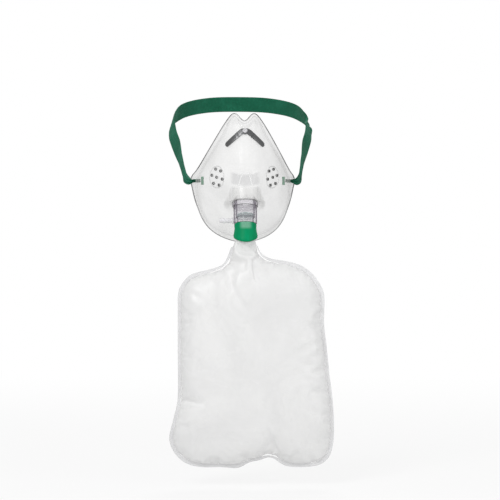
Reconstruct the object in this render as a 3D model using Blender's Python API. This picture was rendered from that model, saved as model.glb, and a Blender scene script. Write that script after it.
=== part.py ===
"""Adult oxygen mask with a reservoir bag, a swivelling inlet connector and an elastic head strap.

Frame: +Z up, the wearer's face on the +Y side, the front of the mask towards -Y. The origin lies
midway between the two strap eyelets, where the cheeks hold the flange. Lengths below are in
millimetres and are turned into metres only where a mesh is made.
"""
import math

import bmesh
import bpy
import numpy as np
from mathutils import Matrix, Vector
from mathutils.bvhtree import BVHTree

MM = 0.001

# ---- driving dimensions, mm ----
SHELL_WALL = 1.4
FLANGE_WIDTH = 6.5
FLANGE_LIFT = 1.2
EYELET_TAB = 7.0
MERIDIANS = 72
DOME_RINGS = 11
BOSS_CENTRE = (0.0, -66.0, -26.0)
BOSS_TILT = 15.0
BOSS_R = 16.5
INLET_COLLAR_R = 13.4
INLET_COLLAR_LENGTH = 4.7
INLET_BORE_R = 11.6
TUBE_R = 12.4
TUBE_BORE_R = 10.0
LOWER_BORE_R = 8.8
VALVE_LEDGE = -16.2
NIPPLE_LEVEL = -19.5
SPIGOT_R = 9.5
SPIGOT_BORE_R = 8.0
SPIGOT_END = -34.5
GAP = 0.3
PORT_X, PORT_Z = 30.5, 1.7
PORT_RING_R = 9.2
PORT_HOLE_R = 1.6
EYELET_R = 3.0
EYELET_X = 54.0
CLIP_WIDTH = 5.0
CLIP_THICKNESS = 0.9
CLIP_LIFT = 0.8
STRAP_WIDTH = 18.0
STRAP_THICKNESS = 1.0
STRAP_GATHERED = (3.8, 3.2)
COLLAR_TOP, COLLAR_BOTTOM = -23.6, -39.2
PIVOT_DROP = 1.0
BAG_SWAY = 6.5
FILM = 0.7
SEAM_HALF = 0.3
SEAM_WIDTH = 3.5


# ---- small helpers ----
def material(name, colour, roughness, metallic=0.0, alpha=1.0, transmission=0.0):
    found = bpy.data.materials.get(name)
    if found:
        return found
    made = bpy.data.materials.new(name)
    made.use_nodes = True
    shader = made.node_tree.nodes["Principled BSDF"]
    shader.inputs["Base Color"].default_value = (*colour, 1.0)
    shader.inputs["Roughness"].default_value = roughness
    shader.inputs["Metallic"].default_value = metallic
    shader.inputs["Alpha"].default_value = alpha
    shader.inputs["Transmission Weight"].default_value = transmission
    return made


def clear_vinyl():
    return material("clear_vinyl", (0.93, 0.95, 0.95), 0.12, alpha=0.35, transmission=0.9)


def clear_rigid():
    return material("clear_rigid", (0.88, 0.85, 0.92), 0.05, alpha=0.4, transmission=0.9)


def green_vinyl():
    return material("green_vinyl", (0.0, 0.28, 0.13), 0.4)


def green_elastic():
    return material("green_elastic", (0.02, 0.2, 0.12), 0.8)


def aluminium():
    return material("aluminium", (0.55, 0.56, 0.57), 0.35, metallic=1.0)


def silicone():
    return material("silicone", (0.8, 0.87, 0.87), 0.3, alpha=0.8)


def bag_film():
    return material("bag_film", (0.92, 0.93, 0.94), 0.3, alpha=0.6)


def smooth_curve(points, count):
    """count points evenly spaced along a Catmull-Rom curve through the given points."""
    p = np.asarray(points, float)
    p = np.vstack([2 * p[0] - p[1], p, 2 * p[-1] - p[-2]])
    fine = []
    for i in range(1, len(p) - 2):
        for t in np.linspace(0, 1, 24, endpoint=False):
            a, b, c, d = p[i - 1], p[i], p[i + 1], p[i + 2]
            fine.append(0.5 * (2 * b + (c - a) * t + (2 * a - 5 * b + 4 * c - d) * t * t
                               + (3 * b - a - 3 * c + d) * t ** 3))
    fine = np.array(fine + [p[-2]])
    along = np.concatenate([[0], np.cumsum(np.linalg.norm(np.diff(fine, axis=0), axis=1))])
    at = np.linspace(0, along[-1], count)
    return np.stack([np.interp(at, along, fine[:, k]) for k in range(fine.shape[1])], axis=1)


def unit(v):
    v = np.asarray(v, float)
    return v / np.maximum(np.linalg.norm(v, axis=-1, keepdims=True), 1e-12)


def add_object(name, mesh, mat, parent=None, location=(0, 0, 0), rotation=(0, 0, 0)):
    obj = bpy.data.objects.new(name, mesh)
    bpy.context.scene.collection.objects.link(obj)
    obj.data.materials.append(mat)
    obj.parent = parent
    obj.location = Vector(location) * MM
    obj.rotation_euler = rotation
    return obj


def mesh_of(name, loops, closed_tube=False, caps=True, smooth_angle=40):
    """A mesh through loops of equal point count, in order. closed_tube joins the last loop to the first."""
    bm = bmesh.new()
    rings = [[bm.verts.new(Vector(p) * MM) for p in loop] for loop in loops]
    pairs = list(zip(rings, rings[1:]))
    if closed_tube:
        pairs.append((rings[-1], rings[0]))
    for low, high in pairs:
        n = len(low)
        for i in range(n):
            j = (i + 1) % n
            bm.faces.new((low[i], low[j], high[j], high[i]))
    if caps and not closed_tube:
        bm.faces.new(list(reversed(rings[0])))
        bm.faces.new(rings[-1])
    bmesh.ops.recalc_face_normals(bm, faces=bm.faces)
    mesh = bpy.data.meshes.new(name)
    bm.to_mesh(mesh)
    bm.free()
    mesh.shade_smooth()
    mesh.set_sharp_from_angle(angle=math.radians(smooth_angle))
    return mesh


def turned(name, profile, steps=40, smooth_angle=35):
    """A ring turned about local Z from a closed profile of (radius, height) points, none on the axis."""
    angles = [2 * math.pi * k / steps for k in range(steps)]
    loops = [[(r * math.cos(a), r * math.sin(a), z) for a in angles] for r, z in profile]
    return mesh_of(name, loops, closed_tube=True, smooth_angle=smooth_angle)


def solid_turned(name, profile, steps=24, smooth_angle=35):
    """A solid turned about local Z from an open profile of (radius, height) points, capped at both ends."""
    angles = [2 * math.pi * k / steps for k in range(steps)]
    loops = [[(r * math.cos(a), r * math.sin(a), z) for a in angles] for r, z in profile]
    return mesh_of(name, loops, smooth_angle=smooth_angle)


def cutter(name, mesh, matrix):
    obj = bpy.data.objects.new(name, mesh)
    bpy.context.scene.collection.objects.link(obj)
    obj.matrix_world = matrix
    obj.hide_render = True
    obj.display_type = "WIRE"
    return obj


def cut(obj, tool, operation="DIFFERENCE"):
    modifier = obj.modifiers.new(tool.name, "BOOLEAN")
    modifier.operation = operation
    modifier.solver = "EXACT"
    modifier.object = tool


# ---- the inlet axis ----
def inlet_empty():
    """The frame of the inlet boss: local Z runs up the connector's axis, local -Y is its front."""
    empty = bpy.data.objects.new("inlet_axis", None)
    bpy.context.scene.collection.objects.link(empty)
    empty.location = Vector(BOSS_CENTRE) * MM
    empty.rotation_euler = (math.radians(-BOSS_TILT), 0, 0)
    return empty


def inlet_point(x, y, z):
    """A point of the inlet frame in the object's frame, mm."""
    c, s = math.cos(math.radians(BOSS_TILT)), math.sin(math.radians(BOSS_TILT))
    return np.array(BOSS_CENTRE) + np.array([x, y * c + z * s, -y * s + z * c])


def inlet_direction(x, y, z):
    return inlet_point(x, y, z) - np.array(BOSS_CENTRE)


# ---- mask shell ----
# Half of the outline seen from the front, (x, z), from the nose notch down to the chin.
OUTLINE = [(0, 62.8), (2.6, 64.2), (5.2, 67.2), (8.2, 70.2), (11.5, 71), (15.6, 68.1), (23, 57.7), (34.4, 39),
           (42.2, 26), (47, 18), (52, 10.5), (56, 6), (57.8, 0.5), (56.2, -7), (53.2, -20), (49.3, -31.2),
           (44.7, -42.2), (37.6, -52.2), (27.1, -60.2), (13.7, -65.7), (0, -68.2)]
# Depth of the wearer's face in front of the origin on the centre line, (z, depth).
FACE_CENTRE = [(-75, 26), (-61, 34), (-45, 41), (-30, 46.5), (-15, 52), (0, 56.5), (20, 57), (40, 54), (60, 49),
               (76, 44)]
FACE_CURVE = 0.0172
# How far the dome stands off that face surface on the centre line, (z, height), and the shape of its sides.
DOME_HEIGHT = [(-75, 5), (-50, 5.5), (-35, 4), (-26, 7), (-14, 14), (0, 19), (20, 19.5), (45, 18), (70, 16)]
DOME_POWER = 0.62
DOME_CENTRE = (0.0, -26.0)
BOSS_BLEND = 5.0
NOTCH_HALF = 9.0
BOSS_WALL_SLOPE = 3.0
EDGE_BLEND = 7.0


def station_value(stations, z):
    fine = smooth_curve(stations, 120)
    return np.interp(z, fine[:, 0], fine[:, 1])


def face_depth(x, z):
    return station_value(FACE_CENTRE, z) - FACE_CURVE * np.asarray(x) ** 2


def smooth_step(t):
    t = np.clip(t, 0, 1)
    return t * t * (3 - 2 * t)


def outline_loop(n):
    """n points (x, z) around the outline from the notch by +X to the chin and back, closer at the notch."""
    fine = smooth_curve(OUTLINE, 1200)
    length = np.linalg.norm(np.diff(fine, axis=0), axis=1)
    weight = length * (1 + 2.2 * smooth_step((fine[1:, 1] - 48) / 14))
    along = np.concatenate([[0], np.cumsum(weight)])
    at = np.linspace(0, along[-1], n // 2 + 1)
    half = np.stack([np.interp(at, along, fine[:, k]) for k in (0, 1)], axis=1)
    left = half[-2:0:-1] * np.array([-1, 1])
    return np.vstack([half, left])


def flange_inset(loop):
    """The outline moved inwards by the flange's width, measured along the face."""
    along = unit(np.roll(loop, -1, axis=0) - np.roll(loop, 1, axis=0))
    inward = np.stack([along[:, 1], -along[:, 0]], axis=1)
    inward *= np.sign((inward * (np.array(DOME_CENTRE) - loop)).sum(axis=1))[:, None]
    slope = face_depth(*(loop + inward).T) - face_depth(*loop.T)
    width = FLANGE_WIDTH - 3.0 * smooth_step((loop[:, 1] - 50) / 14)
    width += EYELET_TAB * np.exp(-((loop[:, 1] - 0.5) / 9) ** 2)
    return loop + inward * (width / np.sqrt(1 + slope ** 2))[:, None]


def on_face(loop, lift):
    return np.stack([loop[:, 0], -face_depth(loop[:, 0], loop[:, 1]) - lift, loop[:, 1]], axis=1)


def ledge_radius(angle):
    """The boss is round in front; behind, its ledge squares off to meet the chin panel."""
    return BOSS_R / np.where(np.sin(angle) > 0, 1.0, (np.cos(angle) ** 4 + np.sin(angle) ** 4) ** 0.25)


def dome_rings(inner_edge, shares):
    """Rings over the dome, from the flange's inner edge up to the rim of the inlet boss."""
    centre = np.array(DOME_CENTRE)
    base = inner_edge[:, [0, 2]]
    angle = np.arctan2(base[:, 1] - centre[1], base[:, 0] - centre[0])
    end = np.array([inlet_point(r * math.cos(a), -r * math.sin(a), 0) for a, r in zip(angle, ledge_radius(angle))])
    t = np.linspace(0, 1, 81)[:, None]
    x = base[:, 0] * (1 - t) + end[:, 0] * t
    z = base[:, 1] * (1 - t) + end[:, 2] * t
    reach = np.hypot(base[:, 0] - centre[0], base[:, 1] - centre[1])
    notch = (np.abs(base[:, 0]) < NOTCH_HALF) & (base[:, 1] > 0)
    reach[notch] = reach[(np.abs(base[:, 0]) < NOTCH_HALF + 4) & (base[:, 1] > 0)].max()
    outness = np.clip(np.hypot(x - centre[0], z - centre[1]) / reach, 0, 1)
    side = (1 - outness ** 2) ** DOME_POWER
    depth = face_depth(x, z) + FLANGE_LIFT * (1 - t) + station_value(DOME_HEIGHT, z) * side
    lean = math.tan(math.radians(BOSS_TILT))
    axis_depth = -BOSS_CENTRE[1] - lean * (z - BOSS_CENTRE[2])
    round_front = np.sqrt(np.maximum(BOSS_R ** 2 - x ** 2, 0))
    wall = BOSS_WALL_SLOPE * np.maximum(np.abs(x) - BOSS_R, 0)
    boss = axis_depth + round_front - wall - below_ledge(angle)
    mix = np.clip(0.5 + 0.5 * (boss - depth) / BOSS_BLEND, 0, 1)
    depth = depth * (1 - mix) + boss * mix + BOSS_BLEND * mix * (1 - mix)
    near = 1 - EDGE_BLEND / np.hypot(base[:, 0] - end[:, 0], base[:, 1] - end[:, 2])
    depth += (-end[:, 1] - depth[-1]) * smooth_step((t - near) / (1 - near))
    depth += (-inner_edge[:, 1] - depth[0]) * (1 - smooth_step(t / 0.1))
    points = np.stack([x, -depth, z], axis=2)
    step = np.linalg.norm(np.diff(points, axis=0), axis=2)
    along = np.concatenate([np.zeros((1, step.shape[1])), np.cumsum(step, axis=0)]) / step.sum(axis=0)
    return [np.array([[np.interp(share, along[:, i], points[:, i, k]) for k in range(3)]
                      for i in range(len(base))]) for share in shares], end, angle


def below_ledge(angle):
    """Below the ledge there is no boss: a depth taken off its front that grows below the level of the inlet."""
    rise = np.degrees(np.arcsin(np.sin(angle)))
    return 200 * (1 - smooth_step((rise + 18) / 40))


def ring_in_inlet(angles, radius, height):
    return np.array([inlet_point(radius * math.cos(a), -radius * math.sin(a), height) for a in angles])


def thickened(rings, wall):
    """The rings moved to the face side by the wall, with mitred corners."""
    p = np.array(rings)
    around = np.roll(p, -1, axis=1) - np.roll(p, 1, axis=1)
    steps = np.diff(p, axis=0)
    quads = unit(np.cross(around[:-1] + around[1:], steps))
    before, after = np.concatenate([quads[:1], quads]), np.concatenate([quads, quads[-1:]])
    normal = unit(before + after)
    mitre = np.maximum((normal * after).sum(axis=2), 0.6)[..., None]
    for _ in range(2):
        normal = unit(np.roll(normal, 1, axis=1) + 2 * normal + np.roll(normal, -1, axis=1))
    outward = np.sign((normal * np.array([0, -1.0, 0])).sum())
    return list(p - outward * normal * wall / mitre)


def shell_mesh():
    outline = outline_loop(MERIDIANS)
    inset = flange_inset(outline)
    edge = on_face(outline, 0.0)
    middle = on_face(outline * 0.45 + inset * 0.55, 0.3)
    inner_edge = on_face(inset, FLANGE_LIFT)
    shares = np.linspace(0, 1, DOME_RINGS + 1)[1:-1]
    dome, boss_rim, angles = dome_rings(inner_edge, shares)
    outer = [edge, middle, inner_edge, *dome, boss_rim]
    ledge = ring_in_inlet(angles, INLET_COLLAR_R, 0)
    inner = thickened([*outer, ledge], SHELL_WALL)[:-1]
    collar = [ring_in_inlet(angles, r, z) for r, z in (
        (INLET_COLLAR_R, 0), (INLET_COLLAR_R, -INLET_COLLAR_LENGTH), (INLET_BORE_R, -INLET_COLLAR_LENGTH),
        (INLET_BORE_R, SHELL_WALL))]
    return mesh_of("mask_shell", [*outer, *collar, *reversed(inner)], closed_tube=True, smooth_angle=50), outer


def surface_of(rings):
    """A search tree of the shell's outer surface, in mm."""
    n = len(rings[0])
    points = [Vector(p) for ring in rings for p in ring]
    faces = [(k * n + i, k * n + (i + 1) % n, (k + 1) * n + (i + 1) % n, (k + 1) * n + i)
             for k in range(len(rings) - 1) for i in range(n)]
    return BVHTree.FromPolygons(points, faces)


def touch(tree, x, z):
    """The point and outward normal of the shell's outer surface at (x, z), seen from the front."""
    point, normal, _, _ = tree.ray_cast(Vector((x, -200, z)), Vector((0, 1, 0)))
    return point, (normal if normal.y < 0 else -normal)


def aim(point, normal):
    """A placing matrix with local Z along the normal."""
    return Matrix.Translation(point * MM) @ normal.to_track_quat("Z", "Y").to_matrix().to_4x4()


def port_centres(tree, side):
    """The seven vent holes of one side: one in the middle and six around it on the surface."""
    point, normal = touch(tree, side * PORT_X, PORT_Z)
    up = (Vector((0, 0, 1)) - normal * normal.z).normalized()
    across = up.cross(normal)
    yield point, normal
    for k in range(6):
        a = math.radians(60 * k + 15 * side)
        near = point + (across * math.cos(a) + up * math.sin(a)) * PORT_RING_R
        spot, _, _, _ = tree.find_nearest(near)
        yield spot, normal


def eyelet(tree, side):
    point, _, _, _ = tree.find_nearest(Vector((side * EYELET_X, -8, 0)))
    return point, Vector((side, 0, 0))


def build_shell():
    mesh, outer = shell_mesh()
    shell = add_object("mask_shell", mesh, clear_vinyl())
    tree = surface_of(outer)
    drill = solid_turned("vent_drill", [(PORT_HOLE_R, -8), (PORT_HOLE_R, 8)], steps=10)
    punch = solid_turned("eyelet_punch", [(EYELET_R, -9), (EYELET_R, 9)], steps=16)
    for side, word in ((-1, "left"), (1, "right")):
        for k, (point, normal) in enumerate(port_centres(tree, side)):
            cut(shell, cutter(f"vent_{word}_{k}", drill, aim(point, normal)))
        cut(shell, cutter(f"eyelet_{word}", punch, aim(*eyelet(tree, side))))
    return tree


# ---- nose clip ----
def build_nose_clip(tree):
    half = smooth_curve([(0, 51.4), (3.5, 50.6), (11, 44), (19.3, 36)], 9)
    path = np.vstack([half[:0:-1] * np.array([-1, 1]), half])
    spots = [touch(tree, x, z) for x, z in path]
    loops = []
    for k, (point, normal) in enumerate(spots):
        ahead = spots[min(k + 1, len(spots) - 1)][0] - spots[max(k - 1, 0)][0]
        across = normal.cross(ahead).normalized() * (CLIP_WIDTH / 2)
        if k in (0, len(spots) - 1):
            across *= 0.6
        low, high = normal * CLIP_LIFT, normal * (CLIP_LIFT + CLIP_THICKNESS)
        loops.append([point - across + low, point + across + low, point + across + high, point - across + high])
    clip = add_object("nose_clip", mesh_of("nose_clip", loops, smooth_angle=30), aluminium())
    point, normal = spots[len(spots) // 2]
    hole = solid_turned("clip_punch", [(1.6, -4), (1.6, 6)], steps=16)
    cut(clip, cutter("clip_hole", hole, aim(point, normal)))
    shell = bpy.data.objects["mask_shell"]
    cut(shell, cutter("stud_hole", hole, aim(point, normal)))
    head = CLIP_LIFT + CLIP_THICKNESS + 0.8
    profile = [(2.4, -SHELL_WALL - 1.9), (2.4, -SHELL_WALL - 0.9), (1.25, -SHELL_WALL - 0.9), (1.25, head),
               (2.7, head), (2.5, head + 0.8), (1.4, head + 1.2)]
    stud = add_object("nose_clip_stud", solid_turned("nose_clip_stud", profile, steps=16), clear_rigid())
    stud.matrix_world = aim(point, normal)


# ---- head strap ----
# Half of the strap's centre line from inside the right eyelet, out through it, round the edge of the flange
# and over the ear to the back of the head.
STRAP_HALF = [(46.5, -7.8, 0), (53.5, -7.8, 0), (58.4, -7.9, 0.6), (62.0, -5.0, 2.4), (63.8, 2.5, 5.6),
              (66.2, 13, 11.5), (70.5, 29, 24), (74.5, 46, 40), (78.3, 62, 57), (77, 84, 73), (64, 114, 87),
              (36, 136, 95), (0, 144, 97)]


def strap_stations(count):
    """Points, band normals, widths and thicknesses along the whole strap, right end to left end."""
    half = np.array(STRAP_HALF, float)
    points = smooth_curve(np.vstack([half, half[-2::-1] * np.array([-1, 1, 1])]), count)
    normals = unit(np.stack([points[:, 0], (points[:, 1] - 45) * 0.8, 0.35 * (points[:, 2] - 20)], axis=1))
    along = np.concatenate([[0], np.cumsum(np.linalg.norm(np.diff(points, axis=0), axis=1))])
    from_end = np.minimum(along, along[-1] - along)
    widths = STRAP_GATHERED[0] + (STRAP_WIDTH - STRAP_GATHERED[0]) * smooth_step((from_end - 12) / 70)
    thicks = STRAP_GATHERED[1] + (STRAP_THICKNESS - STRAP_GATHERED[1]) * np.clip((from_end - 10) / 40, 0, 1)
    return points, normals, widths, thicks


def build_strap():
    points, normals, widths, thicks = strap_stations(57)
    ahead = unit(np.gradient(points, axis=0))
    across = unit(np.cross(normals, ahead))
    face = unit(np.cross(ahead, across))
    corner = 0.35
    loops = []
    for p, a, f, w, t in zip(points, across, face, widths / 2, thicks / 2):
        c = min(w, t) * corner * 2
        section = [(-w, -t + c), (-w + c, -t), (w - c, -t), (w, -t + c), (w, t - c), (w - c, t), (-w + c, t),
                   (-w, t - c)]
        loops.append([p + a * u + f * v for u, v in section])
    add_object("head_strap", mesh_of("head_strap", loops, smooth_angle=60), green_elastic())
    for side, word in ((-1, "left"), (1, "right")):
        bar = solid_turned("strap_end_bar", [(1.4, -4.5), (1.7, -4.0), (1.7, 4.0), (1.4, 4.5)], steps=14)
        x = side * (STRAP_HALF[0][0] - GAP - 1.7)
        add_object(f"strap_end_bar_{word}", bar, green_vinyl(), location=(x, STRAP_HALF[0][1], STRAP_HALF[0][2]))


# ---- connector, valve and collar ----
def build_connector(inlet):
    top = SHELL_WALL + GAP
    profile = [(10.4, top + 4.4), (11.2, top + 3.6), (12.3, top + 0.6), (12.3, top), (11.2, top), (11.2, -5.0),
               (TUBE_R, -5.0), (TUBE_R, -22.6), (TUBE_R - 0.6, -23.2), (SPIGOT_R, -23.2), (SPIGOT_R, SPIGOT_END + 0.6),
               (SPIGOT_R - 0.5, SPIGOT_END), (SPIGOT_BORE_R, SPIGOT_END), (SPIGOT_BORE_R, -22.8),
               (LOWER_BORE_R, -22.0), (LOWER_BORE_R, VALVE_LEDGE), (TUBE_BORE_R, VALVE_LEDGE),
               (TUBE_BORE_R, top + 4.4)]
    tube = add_object("connector_tube", turned("connector_tube", profile, steps=40), clear_rigid(), inlet)
    side_hole = solid_turned("inlet_bore", [(2.35, -16), (2.35, 0)], steps=20)
    # Turned by 7 degrees, so that none of the drill's edges lies on an edge of the tube.
    place = (inlet.matrix_basis @ Matrix.Translation(Vector((0, 0, NIPPLE_LEVEL)) * MM)
             @ Matrix.Rotation(math.radians(90), 4, "Y") @ Matrix.Rotation(math.radians(7), 4, "Z"))
    cut(tube, cutter("inlet_side_hole", side_hole, place))
    # The nipple is bonded into the side hole: a shank through the wall, a shoulder, and a tapered barb.
    outer = [(2.05, -9.6), (2.05, -12.7), (3.2, -12.7), (3.2, -13.9), (2.5, -14.6), (2.6, -21.5), (2.9, -22.2),
             (2.1, -27.6), (1.2, -27.6), (1.2, -9.6)]
    nipple = add_object("oxygen_inlet", turned("oxygen_inlet", outer, steps=24), clear_rigid(), inlet,
                        (0, 0, NIPPLE_LEVEL), (0, math.radians(90), 0))
    return tube, nipple


def build_valve(inlet):
    """A spider seat in the tube's step, a floating disc above it and the pin that guides the disc."""
    seat_z = VALVE_LEDGE + GAP
    ring = turned("valve_seat", [(TUBE_BORE_R - GAP, seat_z), (TUBE_BORE_R - GAP, seat_z + 2.2),
                                 (7.4, seat_z + 2.2), (7.4, seat_z)], steps=40)
    seat = add_object("valve_seat", ring, clear_rigid(), inlet)
    hub = turned("valve_hub", [(2.2, seat_z), (2.2, seat_z + 2.2), (1.0, seat_z + 2.2), (1.0, seat_z)], steps=20)
    hub_tool = cutter("valve_hub", hub, inlet.matrix_basis)
    cut(seat, hub_tool, "UNION")
    for k in range(5):
        bar = bmesh.new()
        bmesh.ops.create_cube(bar, size=1.0, matrix=Matrix.Translation(Vector((4.8, 0, seat_z + 1.1)) * MM)
                              @ Matrix.Diagonal(Vector((6.4, 1.0, 1.6)) * MM).to_4x4())
        spoke = bpy.data.meshes.new("valve_spoke")
        bar.to_mesh(spoke)
        bar.free()
        turn = Matrix.Rotation(math.radians(72 * k + 18), 4, "Z")
        cut(seat, cutter(f"valve_spoke_{k}", spoke, inlet.matrix_basis @ turn), "UNION")
    disc_z = seat_z + 2.2 + GAP
    disc = turned("valve_disc", [(8.8, disc_z), (8.8, disc_z + 0.6), (1.7, disc_z + 0.6), (1.7, disc_z)], steps=36)
    add_object("valve_disc", disc, silicone(), inlet)
    pin = solid_turned("valve_pin", [(0.7, seat_z - 0.2), (0.7, disc_z + 2.4), (2.6, disc_z + 2.4),
                                     (2.6, disc_z + 2.8), (1.4, disc_z + 3.4)], steps=18)
    add_object("valve_pin", pin, clear_rigid(), inlet)


def build_collar(inlet):
    bore = SPIGOT_R + GAP + FILM + GAP
    profile = [(bore, COLLAR_TOP), (11.5, COLLAR_TOP), (11.8, COLLAR_TOP - 0.7), (11.6, COLLAR_TOP - 4.5),
               (12.1, COLLAR_TOP - 8.5), (12.6, COLLAR_BOTTOM + 3.6), (12.5, COLLAR_BOTTOM + 1.2),
               (11.9, COLLAR_BOTTOM), (bore, COLLAR_BOTTOM)]
    add_object("bag_collar", turned("bag_collar", profile, steps=40), green_vinyl(), inlet)
    inner = SPIGOT_R + GAP
    sleeve = [(inner, -24.6), (inner + FILM, -24.6), (inner + FILM, SPIGOT_END - 0.5), (inner, SPIGOT_END - 0.5)]
    add_object("bag_neck_sleeve", turned("bag_neck_sleeve", sleeve, steps=40), bag_film(), inlet)


# ---- reservoir bag ----
# Stations down the bag from its pivot: (drop, half width, half thickness, share of the sway).
BAG_STATIONS = [(-2.6, 8.6, 2.8, 0), (1.5, 9.2, 3, 0), (4.5, 12, 3.6, 0.01), (9, 18.5, 5, 0.04), (15, 30, 8, 0.1),
                (20, 46, 10.5, 0.16), (26, 60, 13, 0.28), (34, 69.5, 15, 0.45), (45, 75.5, 16.5, 0.7),
                (61, 78.5, 17.5, 0.9), (89, 79.5, 18, 1), (121, 80, 18, 1), (153, 82, 18, 1), (181, 85, 17, 1),
                (203, 86, 15.5, 1), (219, 83, 12, 1), (229, 76, 8, 1), (236, 65, 3.8, 1), (240.5, 52, 0.6, 1)]
BAG_FULLNESS = 0.8


def bag_pivot():
    return inlet_point(0, 0, COLLAR_BOTTOM) + np.array([0, 0, -PIVOT_DROP])


def film_loops(side):
    """One sheet of the bag as closed loops, side -1 for the front and +1 for the back."""
    pivot = bag_pivot()
    angles = np.linspace(0, math.pi, 13)
    loops = []
    for drop, half, thick, sway in BAG_STATIONS:
        seam = min(SEAM_WIDTH, FILM + 0.12 * max(drop, 0))
        bulge = np.sin(angles) ** BAG_FULLNESS
        outer = [(half * math.cos(a), SEAM_HALF + FILM + (thick - FILM) * b) for a, b in zip(angles, bulge)]
        inner = [((half - seam) * math.cos(a), SEAM_HALF + max(thick - FILM, 0) * b)
                 for a, b in zip(angles, bulge)]
        section = [*outer, (-half, SEAM_HALF), *reversed(inner), (half, SEAM_HALF)]
        loops.append([(pivot[0] + BAG_SWAY * sway + x, pivot[1] + side * y, pivot[2] - drop) for x, y in section])
    return loops


def build_bag():
    for side, word in ((-1, "front"), (1, "back")):
        name = f"bag_{word}_film"
        add_object(name, mesh_of(name, film_loops(side), smooth_angle=50), bag_film())


def main():
    for obj in list(bpy.data.objects):
        bpy.data.objects.remove(obj)
    tree = build_shell()
    build_nose_clip(tree)
    build_strap()
    inlet = inlet_empty()
    build_connector(inlet)
    build_valve(inlet)
    build_collar(inlet)
    build_bag()


main()
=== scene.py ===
"""Looks of an adult reservoir-bag oxygen mask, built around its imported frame.

Lengths are worked out in millimetres in the object's own frame (+Z up, front towards -Y) and are
turned into metres where a mesh is made. The shell follows the CAD model's formulas at a finer step, and
the connector and collar its sizes. The strap, nose strip and bag are shaped anew, close to their solids.
"""
import math

import bmesh
import bpy
import numpy as np
from mathutils import Matrix, Vector
from mathutils.bvhtree import BVHTree
from mathutils.geometry import delaunay_2d_cdt


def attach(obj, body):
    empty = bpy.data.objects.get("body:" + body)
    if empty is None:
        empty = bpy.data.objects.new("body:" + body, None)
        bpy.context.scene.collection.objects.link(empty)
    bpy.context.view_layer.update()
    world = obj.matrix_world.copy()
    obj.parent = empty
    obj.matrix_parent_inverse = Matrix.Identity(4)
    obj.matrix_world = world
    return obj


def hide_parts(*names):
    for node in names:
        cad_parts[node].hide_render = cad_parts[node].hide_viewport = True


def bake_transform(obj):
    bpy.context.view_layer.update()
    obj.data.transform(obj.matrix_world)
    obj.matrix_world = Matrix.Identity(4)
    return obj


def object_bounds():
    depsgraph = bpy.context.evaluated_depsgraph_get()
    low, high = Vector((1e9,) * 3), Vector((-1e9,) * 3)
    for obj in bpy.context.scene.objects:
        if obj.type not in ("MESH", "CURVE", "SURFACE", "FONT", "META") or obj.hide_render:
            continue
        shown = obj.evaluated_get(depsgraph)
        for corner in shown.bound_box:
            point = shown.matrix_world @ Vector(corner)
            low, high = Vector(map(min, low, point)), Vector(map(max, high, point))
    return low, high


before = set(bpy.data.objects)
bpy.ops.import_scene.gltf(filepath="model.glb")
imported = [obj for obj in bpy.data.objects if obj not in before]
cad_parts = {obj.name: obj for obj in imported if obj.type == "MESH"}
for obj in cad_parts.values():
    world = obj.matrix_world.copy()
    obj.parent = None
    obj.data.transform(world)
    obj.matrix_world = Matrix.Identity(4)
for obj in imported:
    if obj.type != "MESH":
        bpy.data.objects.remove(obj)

cad_box = [list(corner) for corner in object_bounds()]
MM = 0.001

# ---- sizes shared with the CAD model, mm ----
SHELL_WALL = 1.4
FLANGE_WIDTH = 6.5
FLANGE_LIFT = 1.2
EYELET_TAB = 7.0
BOSS_CENTRE = (0.0, -66.0, -26.0)
BOSS_TILT = 15.0
BOSS_R = 16.5
INLET_COLLAR_R = 13.4
INLET_COLLAR_LENGTH = 4.7
INLET_BORE_R = 11.6
TUBE_R = 12.4
TUBE_BORE_R = 10.0
LOWER_BORE_R = 8.8
VALVE_LEDGE = -16.2
NIPPLE_LEVEL = -19.5
SPIGOT_R = 9.5
SPIGOT_BORE_R = 8.0
SPIGOT_END = -34.5
GAP = 0.3
PORT_X, PORT_Z = 30.5, 1.7
PORT_RING_R = 9.2
PORT_HOLE_R = 1.6
EYELET_R = 3.0
EYELET_X = 54.0
CLIP_THICKNESS = 0.9
CLIP_LIFT = 0.8
STRAP_WIDTH = 18.0
STRAP_THICKNESS = 1.0
STRAP_GATHERED = (3.8, 3.2)
COLLAR_TOP, COLLAR_BOTTOM = -23.6, -39.2
FILM = 0.7

# The mask's half outline (x, z), the face's depth and the dome's height at each z.
OUTLINE = [(0, 62.8), (2.6, 64.2), (5.2, 67.2), (8.2, 70.2), (11.5, 71), (15.6, 68.1), (23, 57.7), (34.4, 39),
           (42.2, 26), (47, 18), (52, 10.5), (56, 6), (57.8, 0.5), (56.2, -7), (53.2, -20), (49.3, -31.2),
           (44.7, -42.2), (37.6, -52.2), (27.1, -60.2), (13.7, -65.7), (0, -68.2)]
FACE_CENTRE = [(-75, 26), (-61, 34), (-45, 41), (-30, 46.5), (-15, 52), (0, 56.5), (20, 57), (40, 54),
               (60, 49), (76, 44)]
FACE_CURVE = 0.0172
DOME_HEIGHT = [(-75, 5), (-50, 5.5), (-35, 4), (-26, 7), (-14, 14), (0, 19), (20, 19.5), (45, 18), (70, 16)]
DOME_POWER = 0.62
DOME_CENTRE = (0.0, -26.0)
NOTCH_HALF = 9.0
BOSS_WALL_SLOPE = 3.0
EDGE_BLEND = 7.0

# ---- sizes of the finer model, mm ----
MERIDIANS = 168
DOME_RINGS = 38
BOSS_BLEND = 3.6
COLLAR_DROOP = 6.6
CLIP_WIDTH = 6.4
CLIP_HALF = [(0, 49.8), (3.5, 49.0), (11, 42.4), (19.6, 34.6)]
STUD_HOLE_R = 1.6
BAR_R = 1.7
DOT_RING_R = 12.1
DOT_COUNT = 44
DOT_R = 0.42
TUBE_TOP = SHELL_WALL + GAP + 4.4
SIDE_HOLE_R = 2.35


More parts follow.
